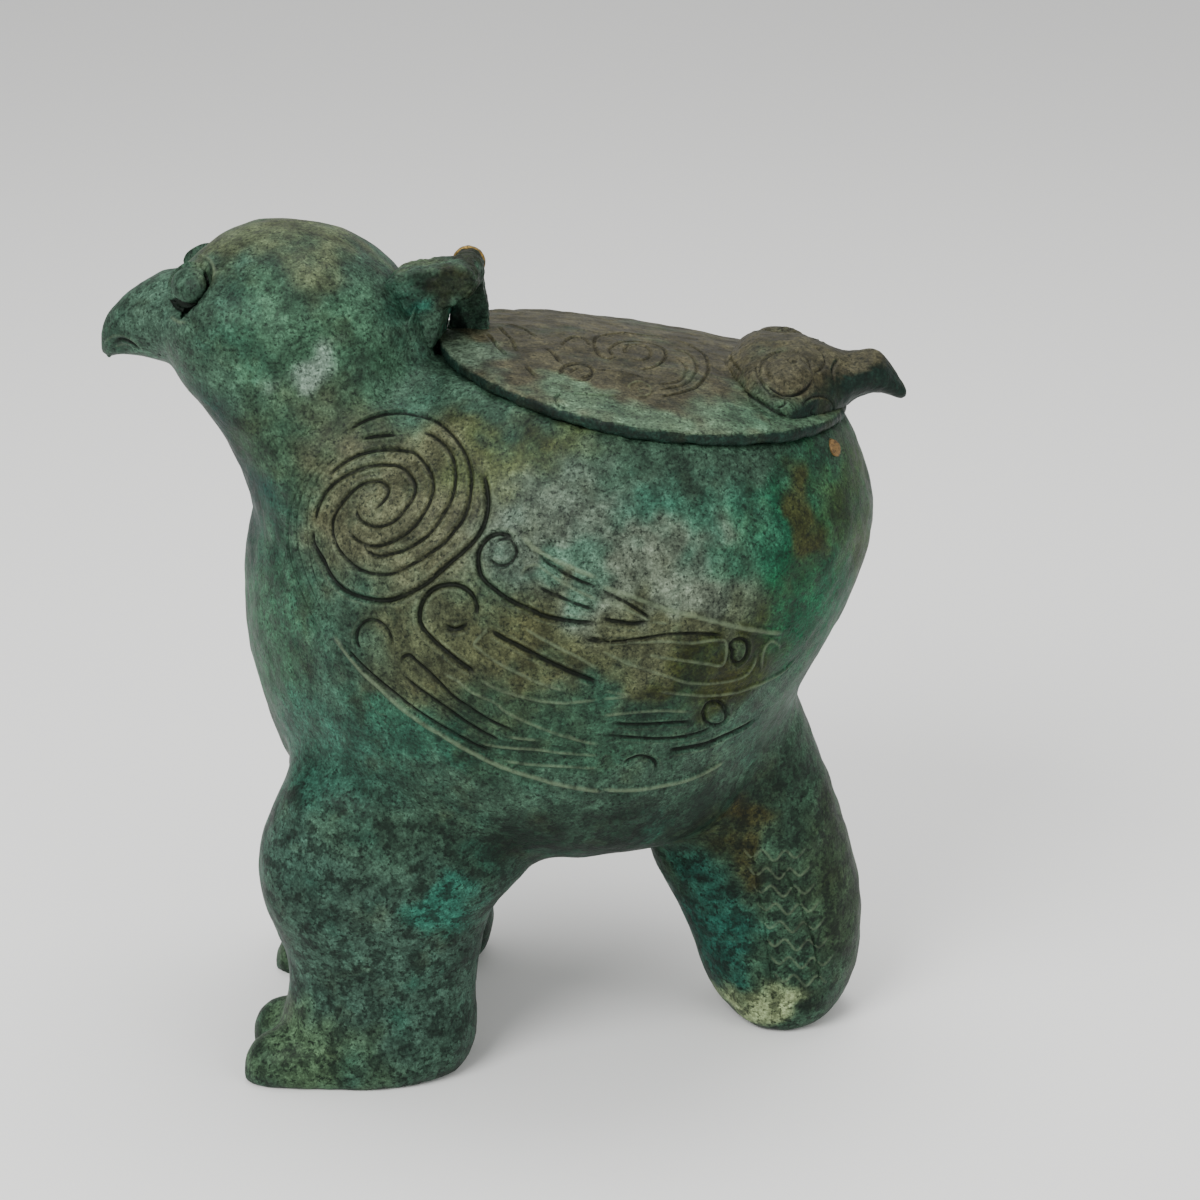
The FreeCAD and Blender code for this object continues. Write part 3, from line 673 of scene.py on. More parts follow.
class Ornament:
    """Traced grooves and ridges, laid on the left side of a surface."""

    def __init__(self, surface):
        self.surface = surface
        self.points = []
        self.heights = []
        self.widths = []

    def trace(self, lines, window, kind, fade=TRACE_FADE):
        """Lay lines on the surface, fading out over their last millimetres."""
        height, width = kind
        for line in lines:
            pixels = smooth_curve(window_pixels(line, window), 1.0)
            place, rays = photo_rays(pixels)
            hits = []
            for ray in rays:
                hit = self.surface.ray_cast(Vector(place), Vector(ray))[0]
                if hit is not None:
                    hits.append(hit)
            if len(hits) < 3:
                raise RuntimeError("a traced line misses the surface")
            hits = np.array(hits)
            steps = np.linalg.norm(np.diff(hits, axis=0), axis=1)
            along = np.concatenate(([0.0], np.cumsum(steps)))
            closed = np.linalg.norm(hits[0] - hits[-1]) < 2 * width
            near_end = np.minimum(along, along[-1] - along)
            share = np.ones(len(hits)) if closed else (
                TRACE_END_SHARE + (1 - TRACE_END_SHARE) * eased(near_end, 0, fade))
            self.points.extend(hits)
            self.heights.extend(height * share)
            self.widths.extend([width] * len(hits))

    def height(self, points):
        """The ornament's height in millimetres at points of the left side."""
        tree = KDTree(len(self.points))
        for index, point in enumerate(self.points):
            tree.insert(point, index)
        tree.balance()
        found = [tree.find(point) for point in points]
        nearest = np.array([index for hit, index, distance in found])
        distance = np.array([distance for hit, index, distance in found])
        height = np.array(self.heights)[nearest]
        share = distance / np.array(self.widths)[nearest]
        raised, lip_place, lip_width = TRACE_LIP
        lip = raised * np.exp(-((share - lip_place) / lip_width) ** 2)
        return height * (np.exp(-share ** 2) - lip)


def eased(values, start, end):
    """A share with soft ends: 0 where values reach the start, 1 at the end."""
    held = np.clip((values - start) / (end - start), 0.0, 1.0)
    return held * held * (3 - 2 * held)


def inside_depth(pixels, outline):
    """How far inside an outline pixels are, in pixels, and below 0 outside."""
    corners = np.array(outline, float)
    inside = np.zeros(len(pixels), bool)
    nearest = np.full(len(pixels), np.inf)
    for start, end in zip(corners, np.roll(corners, -1, axis=0)):
        crosses = (start[1] > pixels[:, 1]) != (end[1] > pixels[:, 1])
        level = pixels[:, 1] - start[1]
        rise = end[1] - start[1]
        place = start[0] + level * (end[0] - start[0]) / (rise if rise else 1.0)
        inside ^= crosses & (pixels[:, 0] < place)
        run = end - start
        share = np.clip((pixels - start) @ run / (run @ run), 0, 1)
        gap = np.linalg.norm(pixels - start - share[:, None] * run, axis=1)
        nearest = np.minimum(nearest, gap)
    return np.where(inside, nearest, -nearest)


def lumps(points, wavelength, seed):
    """Soft unevenness from about -1 to 1, as waves about a wavelength long."""
    source = np.random.RandomState(seed)
    total = np.zeros(len(points))
    for _ in range(LUMP_WAVES):
        way = source.normal(size=3)
        way /= np.linalg.norm(way) * wavelength * source.uniform(*LUMP_SPREAD)
        total += np.sin(2 * math.pi * (points @ way) + source.uniform(0, 2 * math.pi))
    return total / math.sqrt(LUMP_WAVES)


def mesh_points(mesh):
    points = np.empty(len(mesh.vertices) * 3, np.float32)
    mesh.vertices.foreach_get("co", points)
    return points.reshape(-1, 3).astype(float) / MM


def mesh_normals(mesh):
    normals = np.empty(len(mesh.vertices) * 3, np.float32)
    mesh.vertex_normals.foreach_get("vector", normals)
    return normals.reshape(-1, 3).astype(float)


def set_points(mesh, points):
    mesh.vertices.foreach_set("co", (points * MM).astype(np.float32).ravel())
    mesh.update()


def merged_copy(*nodes):
    """The loose triangles of CAD nodes as one joined shape."""
    shape = bmesh.new()
    for node in nodes:
        shape.from_mesh(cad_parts[node].data)
    bmesh.ops.remove_doubles(shape, verts=shape.verts, dist=MERGE_DISTANCE * MM)
    return shape


def new_piece(name, mesh):
    piece = bpy.data.objects.new(name, mesh)
    bpy.context.scene.collection.objects.link(piece)
    return piece


def cast_skin(name, shape, voxel, rounds):
    """Turn a shape into an even, softened skin mesh, as casting leaves it."""
    mesh = bpy.data.meshes.new(name)
    shape.to_mesh(mesh)
    shape.free()
    piece = new_piece(name + "_work", mesh)
    skin = piece.modifiers.new("skin", "REMESH")
    skin.mode = "VOXEL"
    skin.voxel_size = voxel * MM
    skin.use_smooth_shade = True
    soften = piece.modifiers.new("soften", "SMOOTH")
    soften.factor = SMOOTH_FACTOR
    soften.iterations = rounds
    view = piece.evaluated_get(bpy.context.evaluated_depsgraph_get())
    result = bpy.data.meshes.new_from_object(view)
    result.name = name
    bpy.data.objects.remove(piece)
    bpy.data.meshes.remove(mesh)
    return result


def finish_piece(name, mesh, body, key, nodes=()):
    """Make a finished mesh a piece of a body, in place of the nodes it shows."""
    mesh.polygons.foreach_set("use_smooth", [True] * len(mesh.polygons))
    mesh.update()
    set_finish(mesh, key)
    piece = new_piece(name, mesh)
    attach(piece, body)
    for node in nodes:
        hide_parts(node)


def store_relief(mesh, relief):
    """Keep the ornament's height, for the painted highlight and shade of its relief."""
    held = mesh.attributes.new("relief", "FLOAT", "POINT")
    held.data.foreach_set("value", relief.astype(np.float32))


def add_node(tree, kind, settings=(), links=()):
    """Add a shader node with its settings and the links into its sockets."""
    node = tree.nodes.new(kind)
    for name, value in dict(settings).items():
        if isinstance(name, int) or name in node.inputs:
            node.inputs[name].default_value = value
        else:
            setattr(node, name, value)
    for name, source in dict(links).items():
        tree.links.new(source, node.inputs[name])
    return node


def colour(value):
    return (*linear(value), 1.0)


def paint_patina_and_shading(mesh, base, patches, rim=None):
    """Keep the patina's broad colours on the mesh, with wandering borders, and the
    patches of painted shade and painted highlight among them.

    The lid's rim is painted with shade where it turns away from the lid's top, and
    the lid has patches that aren't the same on both sides. The colour's alpha holds
    how strongly dark blotches cover it.
    """
    points = mesh_points(mesh)
    folded = left_side(points) if rim is None else points.copy()
    for wavelength, width in PATCH_WANDERS:
        for axis in range(3):
            folded[:, axis] += width * lumps(points, wavelength, PATCH_SEED + axis)
    tone = np.tile(np.array(linear(base)), (len(points), 1))
    for middle, sizes, value, strength in patches:
        reach = np.linalg.norm((folded - np.array(middle)) / np.array(sizes), axis=1)
        share = strength * eased(reach, *PATCH_REACHES)[:, None]
        tone = tone * (1 - share) + np.array(linear(value)) * share
    # Painted shade on the side of the lid's rim.
    if rim is not None:
        value, strength = LID_RIM_SHADE
        share = strength * rim[:, None]
        tone = tone * (1 - share) + np.array(linear(value)) * share
    # The colour holds the patina and the patches of painted shade and painted
    # highlight.
    held = mesh.attributes.new("patina", "FLOAT_COLOR", "POINT")
    blotched = BLOTCH_LEAST_SHARE + (1 - BLOTCH_LEAST_SHARE) * eased(
        points[:, 2], *BLOTCH_LEVELS)
    held.data.foreach_set("color", np.hstack((
        tone, blotched[:, None])).astype(np.float32).ravel())


def new_material(name):
    """A material and its node tree, with no nodes yet."""
    material = bpy.data.materials.new(name)
    material.use_nodes = True
    tree = material.node_tree
    tree.nodes.clear()
    return material, tree


def patinated_bronze(name, pit, highlight_tone):
    """Buried cast bronze: a mineral crust in greens and browns over the metal.

    It gives the eye a soft, broken sheen, dark pits, a painted highlight on the
    ridges and painted shade in the grooves.
    """
    material, tree = new_material(name)
    place = add_node(tree, "ShaderNodeTexCoord").outputs["Object"]
    # The painted colours: patina, with patches of painted shade and painted highlight.
    painted_tone = add_node(
        tree, "ShaderNodeAttribute", {"attribute_name": "patina"}).outputs
    tone = painted_tone["Color"]
    relief = add_node(
        tree, "ShaderNodeAttribute", {"attribute_name": "relief"}).outputs["Fac"]
    noises = {
        key: add_node(
            tree, "ShaderNodeTexNoise",
            {"Scale": 1 / (size * MM), "Detail": detail, "Roughness": roughness},
            {"Vector": place}).outputs["Fac"]
        for key, (size, detail, roughness) in CRUST_NOISES.items()}

    def mixed(tone, source, low, high, share, value, weight=None):
        """Mix a colour in where a value runs from low to high."""
        found = add_node(
            tree, "ShaderNodeMapRange",
            {"From Min": low, "From Max": high, "To Max": share},
            {"Value": source}).outputs["Result"]
        if weight is not None:
            found = add_node(
                tree, "ShaderNodeMath", {"operation": "MULTIPLY"},
                {0: found, 1: weight}).outputs["Value"]
        return add_node(
            tree, "ShaderNodeMix", {"data_type": "RGBA", 7: colour(value)},
            {0: found, 6: tone}).outputs[2]

    tone = mixed(tone, noises["verdigris"], *VERDIGRIS)
    tone = mixed(tone, noises["earth"], *EARTH)
    for key, low, high, darkest, lightest in CRUST_STRENGTHS:
        strength = add_node(
            tree, "ShaderNodeMapRange",
            {"From Min": low, "From Max": high, "To Min": darkest,
             "To Max": lightest}, {"Value": noises[key]})
        tone = add_node(
            tree, "ShaderNodeVectorMath", {"operation": "SCALE"},
            {0: tone, "Scale": strength.outputs["Result"]}).outputs["Vector"]
    tone = mixed(tone, noises["blotch"], *BLOTCHES, pit, painted_tone["Alpha"])
    tone = mixed(tone, noises["pit"], *PITS, pit)
    # The crust's noise breaks up the painted highlight and shade of the relief.
    relief_share = add_node(
        tree, "ShaderNodeMapRange", CRUST_RELIEF_SHARE, {"Value": noises["crust"]})
    relief = add_node(
        tree, "ShaderNodeMath", {"operation": "MULTIPLY"},
        {0: relief, 1: relief_share.outputs["Result"]}).outputs["Value"]
    # Painted highlight on the ridges.
    tone = mixed(tone, relief, *RIDGE_HIGHLIGHT, highlight_tone)
    # Painted shade in the grooves and in the eye's hollow.
    tone = mixed(tone, relief, *GROOVE_SHADE)
    gloss = add_node(
        tree, "ShaderNodeMapRange", CRUST_GLOSS, {"Value": noises["crust"]})
    crust = add_node(
        tree, "ShaderNodeBump", CRUST_BUMP, {"Height": noises["crust"]})
    pits = add_node(
        tree, "ShaderNodeBump", PIT_BUMP,
        {"Height": noises["pit"], "Normal": crust.outputs["Normal"]})
    shader = add_node(
        tree, "ShaderNodeBsdfPrincipled", {"Specular IOR Level": CRUST_SPECULAR},
        {"Base Color": tone, "Roughness": gloss.outputs["Result"],
         "Normal": pits.outputs["Normal"]})
    add_node(
        tree, "ShaderNodeOutputMaterial", (),
        {"Surface": shader.outputs["BSDF"]})
    return material


def grained_finish(name, light, dark, metallic, roughness, grain_size):
    """A worn metal, or clay, under a fine and uneven film in two tones."""
    material, tree = new_material(name)
    place = add_node(tree, "ShaderNodeTexCoord").outputs["Object"]
    film = add_node(
        tree, "ShaderNodeTexNoise",
        {"Scale": 1 / (grain_size * MM), "Detail": FILM_DETAIL,
         "Roughness": FILM_ROUGHNESS},
        {"Vector": place})
    share = add_node(
        tree, "ShaderNodeMapRange", FILM_RANGE, {"Value": film.outputs["Fac"]})
    tone = add_node(
        tree, "ShaderNodeMix", {"data_type": "RGBA", 6: colour(dark), 7: colour(light)},
        {0: share.outputs["Result"]})
    gloss = add_node(
        tree, "ShaderNodeMapRange",
        {"To Min": roughness + FILM_DULLING, "To Max": roughness},
        {"Value": share.outputs["Result"]})
    bump = add_node(
        tree, "ShaderNodeBump", FILM_BUMP, {"Height": film.outputs["Fac"]})
    shader = add_node(
        tree, "ShaderNodeBsdfPrincipled", {"Metallic": metallic},
        {"Base Color": tone.outputs[2], "Roughness": gloss.outputs["Result"],
         "Normal": bump.outputs["Normal"]})
    add_node(
        tree, "ShaderNodeOutputMaterial", (),
        {"Surface": shader.outputs["BSDF"]})
    return material


# Each finish: the function that makes it, and its name, colours and numbers.
FINISHES = {
    # A green crust over cast bronze, with the dark pits of long burial, and a pale
    # painted highlight on its ridges.
    "body": (patinated_bronze, ("patinated_bronze_body", "0a120e", "67755c")),
    # The same crust, with browner pits and a browner painted highlight on its ridges,
    # on the lid and its bird.
    "lid": (patinated_bronze, ("patinated_bronze_lid", "10150f", "60694f")),
    # The collar's worn gilding, the one spot of bright metal.
    "gilt": (grained_finish, (
        "worn_gilt_bronze", "8f7238", "2c3324", 0.8, 0.4, 2.0)),
    # The plug's copper alloy, dull and yellower than the patina round it.
    "plug": (grained_finish, (
        "copper_alloy_plug", "7d6034", "3f3018", 0.3, 0.5, 1.5)),
    # The hinge pin's bronze, nearly black in the shade of the lug.
    "pin": (grained_finish, (
        "dark_pin_bronze", "2c3325", "10150f", 0.4, 0.5, 1.5)),
    # Clay without any shine, sealed in the legs and the tail.
    "clay": (grained_finish, (
        "clay_core", "7a6048", "4b3a2c", 0.0, 0.9, 1.2)),
}


def finish_of(key):
    """The finish of a group of pieces, made once."""
    made = WORK.setdefault("finishes", {})
    if key not in made:
        make, values = FINISHES[key]
        made[key] = make(*values)
    return made[key]


def set_finish(mesh, key):
    mesh.materials.clear()
    mesh.materials.append(finish_of(key))


def painted(mesh, key):
    """Paint a mesh's patina and its patches of painted shade and highlight, where its
    finish is patinated bronze.
    """
    if key == "body":
        paint_patina_and_shading(mesh, BODY_BASE, BODY_PATCHES)
    elif key == "lid":
        # The side of the rim, turned away from the lid's top, gets painted shade.
        rim = eased(round_lid(mesh_points(mesh))[1], *LID_EDGE_REACHES)
        rim *= eased(mesh_normals(mesh) @ lid_place()[1], *LID_EDGE_FACINGS)
        paint_patina_and_shading(mesh, LID_BASE, LID_PATCHES, rim)
    return mesh


def left_side(points):
    """Points with the far side folded on to the near one."""
    folded = points.copy()
    folded[:, 1] = -np.abs(folded[:, 1])
    return folded


def seen_share(points, normals):
    """How squarely the folded surface faces the camera, from -1 to 1."""
    place = camera_axes()[0]
    folded = normals.copy()
    folded[:, 1] *= np.where(points[:, 1] > 0, -1, 1)
    way = place - left_side(points)
    way /= np.linalg.norm(way, axis=1)[:, None]
    return (folded * way).sum(axis=1)


def folded_depth(folded, outline):
    """How deep points of the left side lie inside an outline, in millimetres."""
    place, _, _, back = camera_axes()
    distance = -((folded - place) @ back)
    return inside_depth(photo_pixels(folded), outline) * distance / CAMERA_FOCAL_PIXELS


def region_depth(points, normals, outline):
    """Depth inside a region of either side, below 0 outside it or out of sight."""
    hidden = seen_share(points, normals) < MIN_FACING
    return np.where(hidden, HIDDEN_DEPTH, folded_depth(left_side(points), outline))


def mesh_edges(mesh):
    edges = np.empty(len(mesh.edges) * 2, np.int32)
    mesh.edges.foreach_get("vertices", edges)
    return edges.reshape(-1, 2)


def average_near(values, edges):
    """The mean of each point's neighbours."""
    count = np.bincount(edges.ravel(), minlength=len(values))
    columns = []
    for column in values.reshape(len(values), -1).T:
        total = np.bincount(
            edges[:, 0], weights=column[edges[:, 1]], minlength=len(values))
        total += np.bincount(
            edges[:, 1], weights=column[edges[:, 0]], minlength=len(values))
        columns.append(total / np.maximum(count, 1))
    return np.array(columns).T.reshape(values.shape)


def softened(points, edges, share, rounds):
    """Draw points towards their neighbours by a share, round after round."""
    for _ in range(rounds):
        step = average_near(points, edges) - points
        points = points + share[:, None] * SMOOTH_FACTOR * step
    return points


def evened(points, edges, share, rounds):
    """Take out short bumps and keep the broad shape."""
    for _ in range(rounds):
        for factor in EVENING_FACTORS:
            step = average_near(points, edges) - points
            points = points + share[:, None] * factor * step
    return points


def lid_place():
    """The middle of the lid's seat and the axis through it, in millimetres."""
    low, high = (np.array(corner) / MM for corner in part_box("lid"))
    tilt = math.radians(LID_TILT)
    axis = np.array((math.sin(tilt), 0.0, math.cos(tilt)))
    middle = (low + high) / 2
    return middle - axis * LID_HALF_RISE, axis


def round_lid(points):
    """Each point's level over the lid's seat and distance from its axis."""
    middle, axis = lid_place()
    level = (points - middle) @ axis
    return level, np.linalg.norm(points - middle - level[:, None] * axis, axis=1)


def node_distance(points, node):
    """How far points are from the middle of a node, in millimetres."""
    low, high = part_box(node)
    return np.linalg.norm(points - np.array((low + high) / 2) / MM, axis=1)


def swells(along, bumps):
    """The height of a row of soft bumps, each with height, place and length."""
    return sum(
        height * np.exp(-((along - place) / length) ** 2)
        for height, place, length in bumps)


def lid_fit(points):
    """Points of the lid, moved to where the photo shows its outline."""
    middle, axis = lid_place()
    start = middle[0] - LID_RADIUS
    share = np.clip((middle[0] - points[:, 0]) / LID_RADIUS, 0.0, LID_HINGE_MOST)
    moved = points.copy()
    moved[:, 0] = start + (points[:, 0] - start) * LID_LENGTH_SHARE
    moved[:, 1] *= LID_WIDTH_SHARE
    moved[:, 2] += LID_RISE + LID_HINGE_RISE * share ** LID_HINGE_POWER
    return moved


def far_eye_fit(points):
    """The far eye, lowered behind the brow as in the photo."""
    moved = points.copy()
    reach = node_distance(points, "right_eye")
    moved[:, 2] -= FAR_EYE_DROP * eased(reach, *FAR_EYE_REACHES)
    return moved


def seat_fit(points):
    """Points of the body, the ones under the lid's rim moved along with it.

    The saddle between the neck and the lid rises to meet them.
    """
    level, reach = round_lid(points)
    weight = eased(level, *SEAT_LOW_LEVELS) * eased(level, *SEAT_HIGH_LEVELS)
    weight *= eased(reach, *SEAT_REACHES)
    moved = points + weight[:, None] * (lid_fit(points) - points)
    saddle = eased(moved[:, 0], *SADDLE_REAR) * eased(moved[:, 0], *SADDLE_FRONT)
    saddle *= eased(np.abs(moved[:, 1]), *SADDLE_SIDES)
    saddle *= eased(points[:, 2], *SADDLE_BOTTOM) * eased(points[:, 2], *SADDLE_TOP)
    moved[:, 2] += SADDLE_RISE * saddle
    return moved


def bird_fit(points):
    """The lid bird's head with its full nape and its hooked beak."""
    along = points[:, 0]
    moved = points.copy()
    moved[:, 2] += eased(points[:, 2], *BIRD_TOP_LEVELS) * swells(
        along, BIRD_TOP_SWELLS)
    moved[:, 2] += swells(along, BIRD_BEAK_SWELLS)
    moved[:, 2] -= BIRD_TIP_DROP * eased(along, *BIRD_TIP)
    return moved


def lug_fit(points):
    """The hinge lug with its slanted barrel and its root down to the neck."""
    moved = points.copy()
    moved[:, 0] += LUG_SKEW * (points[:, 1] - LUG_FAR_END)
    moved[:, 1] -= LUG_END_SWELL * eased(points[:, 1], *LUG_END)
    low = eased(points[:, 2], *LUG_ROOT_LEVELS)
    moved[:, 2] -= LUG_ROOT_DROP * low * eased(points[:, 0], *LUG_ROOT)
    return moved


def arm_fit(points):
    """The lid's hinge arm, widened towards its foot."""
    moved = points.copy()
    low = eased(points[:, 2], *ARM_FOOT_LEVELS)
    moved[:, 0] += ARM_SPREAD * low * (points[:, 0] - ARM_MIDDLE)
    return moved


def plug_fit(points):
    """The plug, moved on the skin to where the photo shows it."""
    place = camera_axes()[0]
    wanted = seen_point(surface_tree(body_surface()), PLUG_PIXEL)
    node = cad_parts["rim_plug"].data
    way = mesh_points(node).mean(axis=0) - place
    held = surface_tree(node).ray_cast(Vector(place), Vector(way).normalized())[0]
    return points + np.array(wanted - held)


def crease_share(points, normals, edges):
    """Where the casting's joints run in soft hollows, from 0 to 1."""
    hollow = ((average_near(points, edges) - points) * normals).sum(axis=1)
    level, reach = round_lid(points)
    near_lid = (level > -RIM_CLEARANCE) & (reach < LID_CLEARANCE)
    share = np.where((hollow > CREASE_DEPTH) & ~near_lid, 1.0, 0.0)
    for name in ("left_eye", "right_eye"):
        share[node_distance(points, name) < EYE_CLEARANCE] = 0.0
    for _ in range(CREASE_GROWTH_ROUNDS):
        share = np.maximum(share, average_near(share, edges) * CREASE_GROWTH)
    for _ in range(CREASE_FADE_ROUNDS):
        share = average_near(share, edges)
    share = np.clip(share, 0.0, 1.0)
    return np.where(points[:, 2] < TOE_LEVEL, TOE_CREASE_SHARE * share, share)


def whole_casting():
    """The shell, legs and tail together, as the one casting that they look.

    The plug is in it too, because its own piece lies elsewhere on the skin.
    """
    return merged_copy(
        "body_shell", "left_leg", "right_leg", "tail_support", "rim_plug")


def medallion_swell(pixels):
    """How far the medallion swells out of the breast, in millimetres."""
    share = (pixels - np.array(MEDALLION_MIDDLE)) / np.array(MEDALLION_HALF_SIZES)
    rise = MEDALLION_STEEPNESS * (1 - np.linalg.norm(share, axis=1))
    return MEDALLION_SWELL * eased(rise, 0, 1)


def mandible_recess(pixels):
    """The lower beak lies back under the upper beak's edge."""
    depth = inside_depth(pixels, window_pixels(UNDER_MOUTH, HEAD_WINDOW))
    return -MANDIBLE_RECESS * eased(depth, 0, MOUTH_REACH)


def body_surface():
    """The whole outside of the vessel as one softened skin, before carving."""
    if "body_skin" not in WORK:
        mesh = cast_skin("body_skin", whole_casting(), *BODY_CAST)
        points = mesh_points(mesh)
        normals = mesh_normals(mesh)
        edges = mesh_edges(mesh)
        share = crease_share(points, normals, edges)
        points = softened(points, edges, share, CREASE_ROUNDS)
        depth = region_depth(points, normals, FLANK_REGION)
        ornamented = eased(depth, *EVENING_DEPTHS)
        points = evened(points, edges, ornamented, EVENING_ROUNDS)
        set_points(mesh, points)
        uneven = sum(
            height * lumps(points, wavelength, LUMP_SEED + index)
            for index, (height, wavelength) in enumerate(BODY_LUMPS))
        points = points + mesh_normals(mesh) * uneven[:, None]
        set_points(mesh, far_eye_fit(seat_fit(points)))
        WORK["body_skin"] = mesh
    return WORK["body_skin"]


def surface_tree(mesh):
    points = mesh_points(mesh)
    faces = [tuple(face.vertices) for face in mesh.polygons]
    return BVHTree.FromPolygons([Vector(point) for point in points], faces)


def thickened(shape, wall):
    """Close a sheet of faces into a shell, marking its inner side by a layer."""
    ply = shape.verts.layers.float.new("ply")
    shape.normal_update()
    ways = {vertex: vertex.normal.copy() for vertex in shape.verts}
    top = shape.faces[:]
    grown = bmesh.ops.extrude_face_region(shape, geom=top, use_keep_orig=True)
    below = [item for item in grown["geom"] if isinstance(item, bmesh.types.BMVert)]
    tree = KDTree(len(ways))
    held = list(ways)
    for index, vertex in enumerate(held):
        tree.insert(vertex.co, index)
    tree.balance()
    for vertex in below:
        way = ways[held[tree.find(vertex.co)[1]]]
        vertex[ply] = 1.0
        vertex.co -= way * wall * MM
    edges = list({edge for face in top for edge in face.edges})
    bmesh.ops.recalc_face_normals(shape, faces=shape.faces)
    return edges


def carve_depth(depth):
    """How deep the skin is cut back under a panel, in millimetres."""
    return CARVE_DEPTH * eased(depth, *CARVE_REACHES)


def ornament_panel(name, outline, side, ornament, shaped, cuts):
    """One ornamented panel of the vessel's skin, as its own closed piece."""
    base = body_surface()
    points = mesh_points(base)
    depth = region_depth(points, mesh_normals(base), outline)
    depth = np.where(points[:, 1] * side > 0, depth, -1.0)
    shape = bmesh.new()
    shape.from_mesh(base)
    outside = [
        vertex for vertex, inside in zip(shape.verts, depth > 0) if not inside]
    bmesh.ops.delete(shape, geom=outside, context="VERTS")
    for _ in range(3):
        pinched = [vertex for vertex in shape.verts if len(vertex.link_faces) < 2]
        bmesh.ops.delete(shape, geom=pinched, context="VERTS")
    edges = thickened(shape, PANEL_WALL)
    bmesh.ops.subdivide_edges(
        shape, edges=edges, cuts=cuts, use_grid_fill=True)
    ply = shape.verts.layers.float["ply"]
    top = [vertex for vertex in shape.verts if vertex[ply] == 0.0]
    for _ in range(PANEL_SMOOTHING):
        bmesh.ops.smooth_vert(
            shape, verts=top, factor=SMOOTH_FACTOR, use_axis_x=True,
            use_axis_y=True, use_axis_z=True)
    on_top = np.array([vertex[ply] == 0.0 for vertex in shape.verts])
    mesh = bpy.data.meshes.new(name)
    shape.to_mesh(mesh)
    shape.free()
    points = mesh_points(mesh)
    normals = mesh_normals(mesh)
    folded = left_side(points)
    depth = folded_depth(folded, outline)
    rise = eased(depth, 0, PANEL_REACH)
    relief = np.zeros(len(points))
    relief[on_top] = ornament.height(folded[on_top]) * rise[on_top]
    deepest = CARVE_USED_SHARE * carve_depth(depth) + CARVE_SLACK
    relief = np.maximum(relief, -deepest)
    lift = relief + PANEL_LIFT * rise - PANEL_SINK * (1 - rise)
    if shaped is not None:
        lift += shaped(photo_pixels(folded)) * rise
    lift[~on_top] = 0.0
    set_points(mesh, points + normals * lift[:, None])
    store_relief(mesh, relief)
    finish_piece(name, painted(mesh, "body"), "vessel", "body")


def ornament_panels(name, outline, ornament, shaped=None, cuts=PANEL_CUTS):
    """The same ornamented panel on the left and on the right side."""
    for side, way in (("left_", -1), ("right_", 1)):
        ornament_panel(side + name, outline, way, ornament, shaped, cuts)


class VesselSizes(bpy.types.PropertyGroup):
    lid_unevenness: bpy.props.FloatProperty(
        name="Lid unevenness", default=0.2, min=0.0, max=1.0,
        description="Height of the cast lumps on the lid, in millimetres")
    floor_size: bpy.props.FloatProperty(
        name="Floor size", default=6.0, min=1.0, unit="LENGTH",
        description="Width of the pale floor under the vessel")


class VesselColours(bpy.types.PropertyGroup):
    floor: bpy.props.FloatVectorProperty(
        name="Floor", subtype="COLOR", size=3, default=linear("f4f4f2"),
        description="Colour of the painted studio floor")
    studio: bpy.props.FloatVectorProperty(
        name="Studio", subtype="COLOR", size=3, default=linear("ffffff"),
        description="Colour of the light from the studio's walls")


class VESSEL_OT_stage(bpy.types.Operator):
    """Set up the floor, the soft studio lights and the camera"""
    bl_idname = "vessel.stage"
    bl_label = "Stage"

    def execute(self, context):
        colours = context.scene.vessel_colours
        sizes = context.scene.vessel_sizes
        shape = bmesh.new()
        bmesh.ops.create_grid(
            shape, x_segments=2, y_segments=2, size=sizes.floor_size / 2)
        mesh = bpy.data.meshes.new("studio_floor")
        shape.to_mesh(mesh)
        shape.free()
        floor = new_piece("studio_floor", mesh)
        paint, tree = new_material("matt_studio_paint")
        shader = add_node(
            tree, "ShaderNodeBsdfPrincipled",
            {"Base Color": (*colours.floor, 1.0), "Roughness": FLOOR_ROUGHNESS})
        add_node(
            tree, "ShaderNodeOutputMaterial", (),
            {"Surface": shader.outputs["BSDF"]})
        mesh.materials.append(paint)
        world = bpy.data.worlds.new("studio")
        world.use_nodes = True
        context.scene.world = world
        back = world.node_tree.nodes["Background"]
        back.inputs["Color"].default_value = (*colours.studio, 1.0)
        back.inputs["Strength"].default_value = STUDIO_STRENGTH
        target = Vector(CAMERA_TARGET) * MM
        for name, place, size, power in STUDIO_LIGHTS:
            light = bpy.data.lights.new(name, "AREA")
            light.shape = "DISK"
            light.size = size
            light.energy = power
            lamp = bpy.data.objects.new(name, light)
            context.scene.collection.objects.link(lamp)
            lamp.location = place
            way = target - lamp.location
            lamp.rotation_euler = way.to_track_quat("-Z", "Y").to_euler()
        place, _, _, back = camera_axes()
        camera_data = bpy.data.cameras.new("photo_camera")
        camera_data.sensor_width = SENSOR_WIDTH
        camera_data.lens = CAMERA_FOCAL_PIXELS / PHOTO_SIDE * SENSOR_WIDTH
        camera_data.clip_start = CLIP_START
        camera = bpy.data.objects.new("photo_camera", camera_data)
        context.scene.collection.objects.link(camera)
        camera.location = Vector(place) * MM
        camera.rotation_euler = Vector(-back).to_track_quat("-Z", "Y").to_euler()
        context.scene.camera = camera
        return {"FINISHED"}


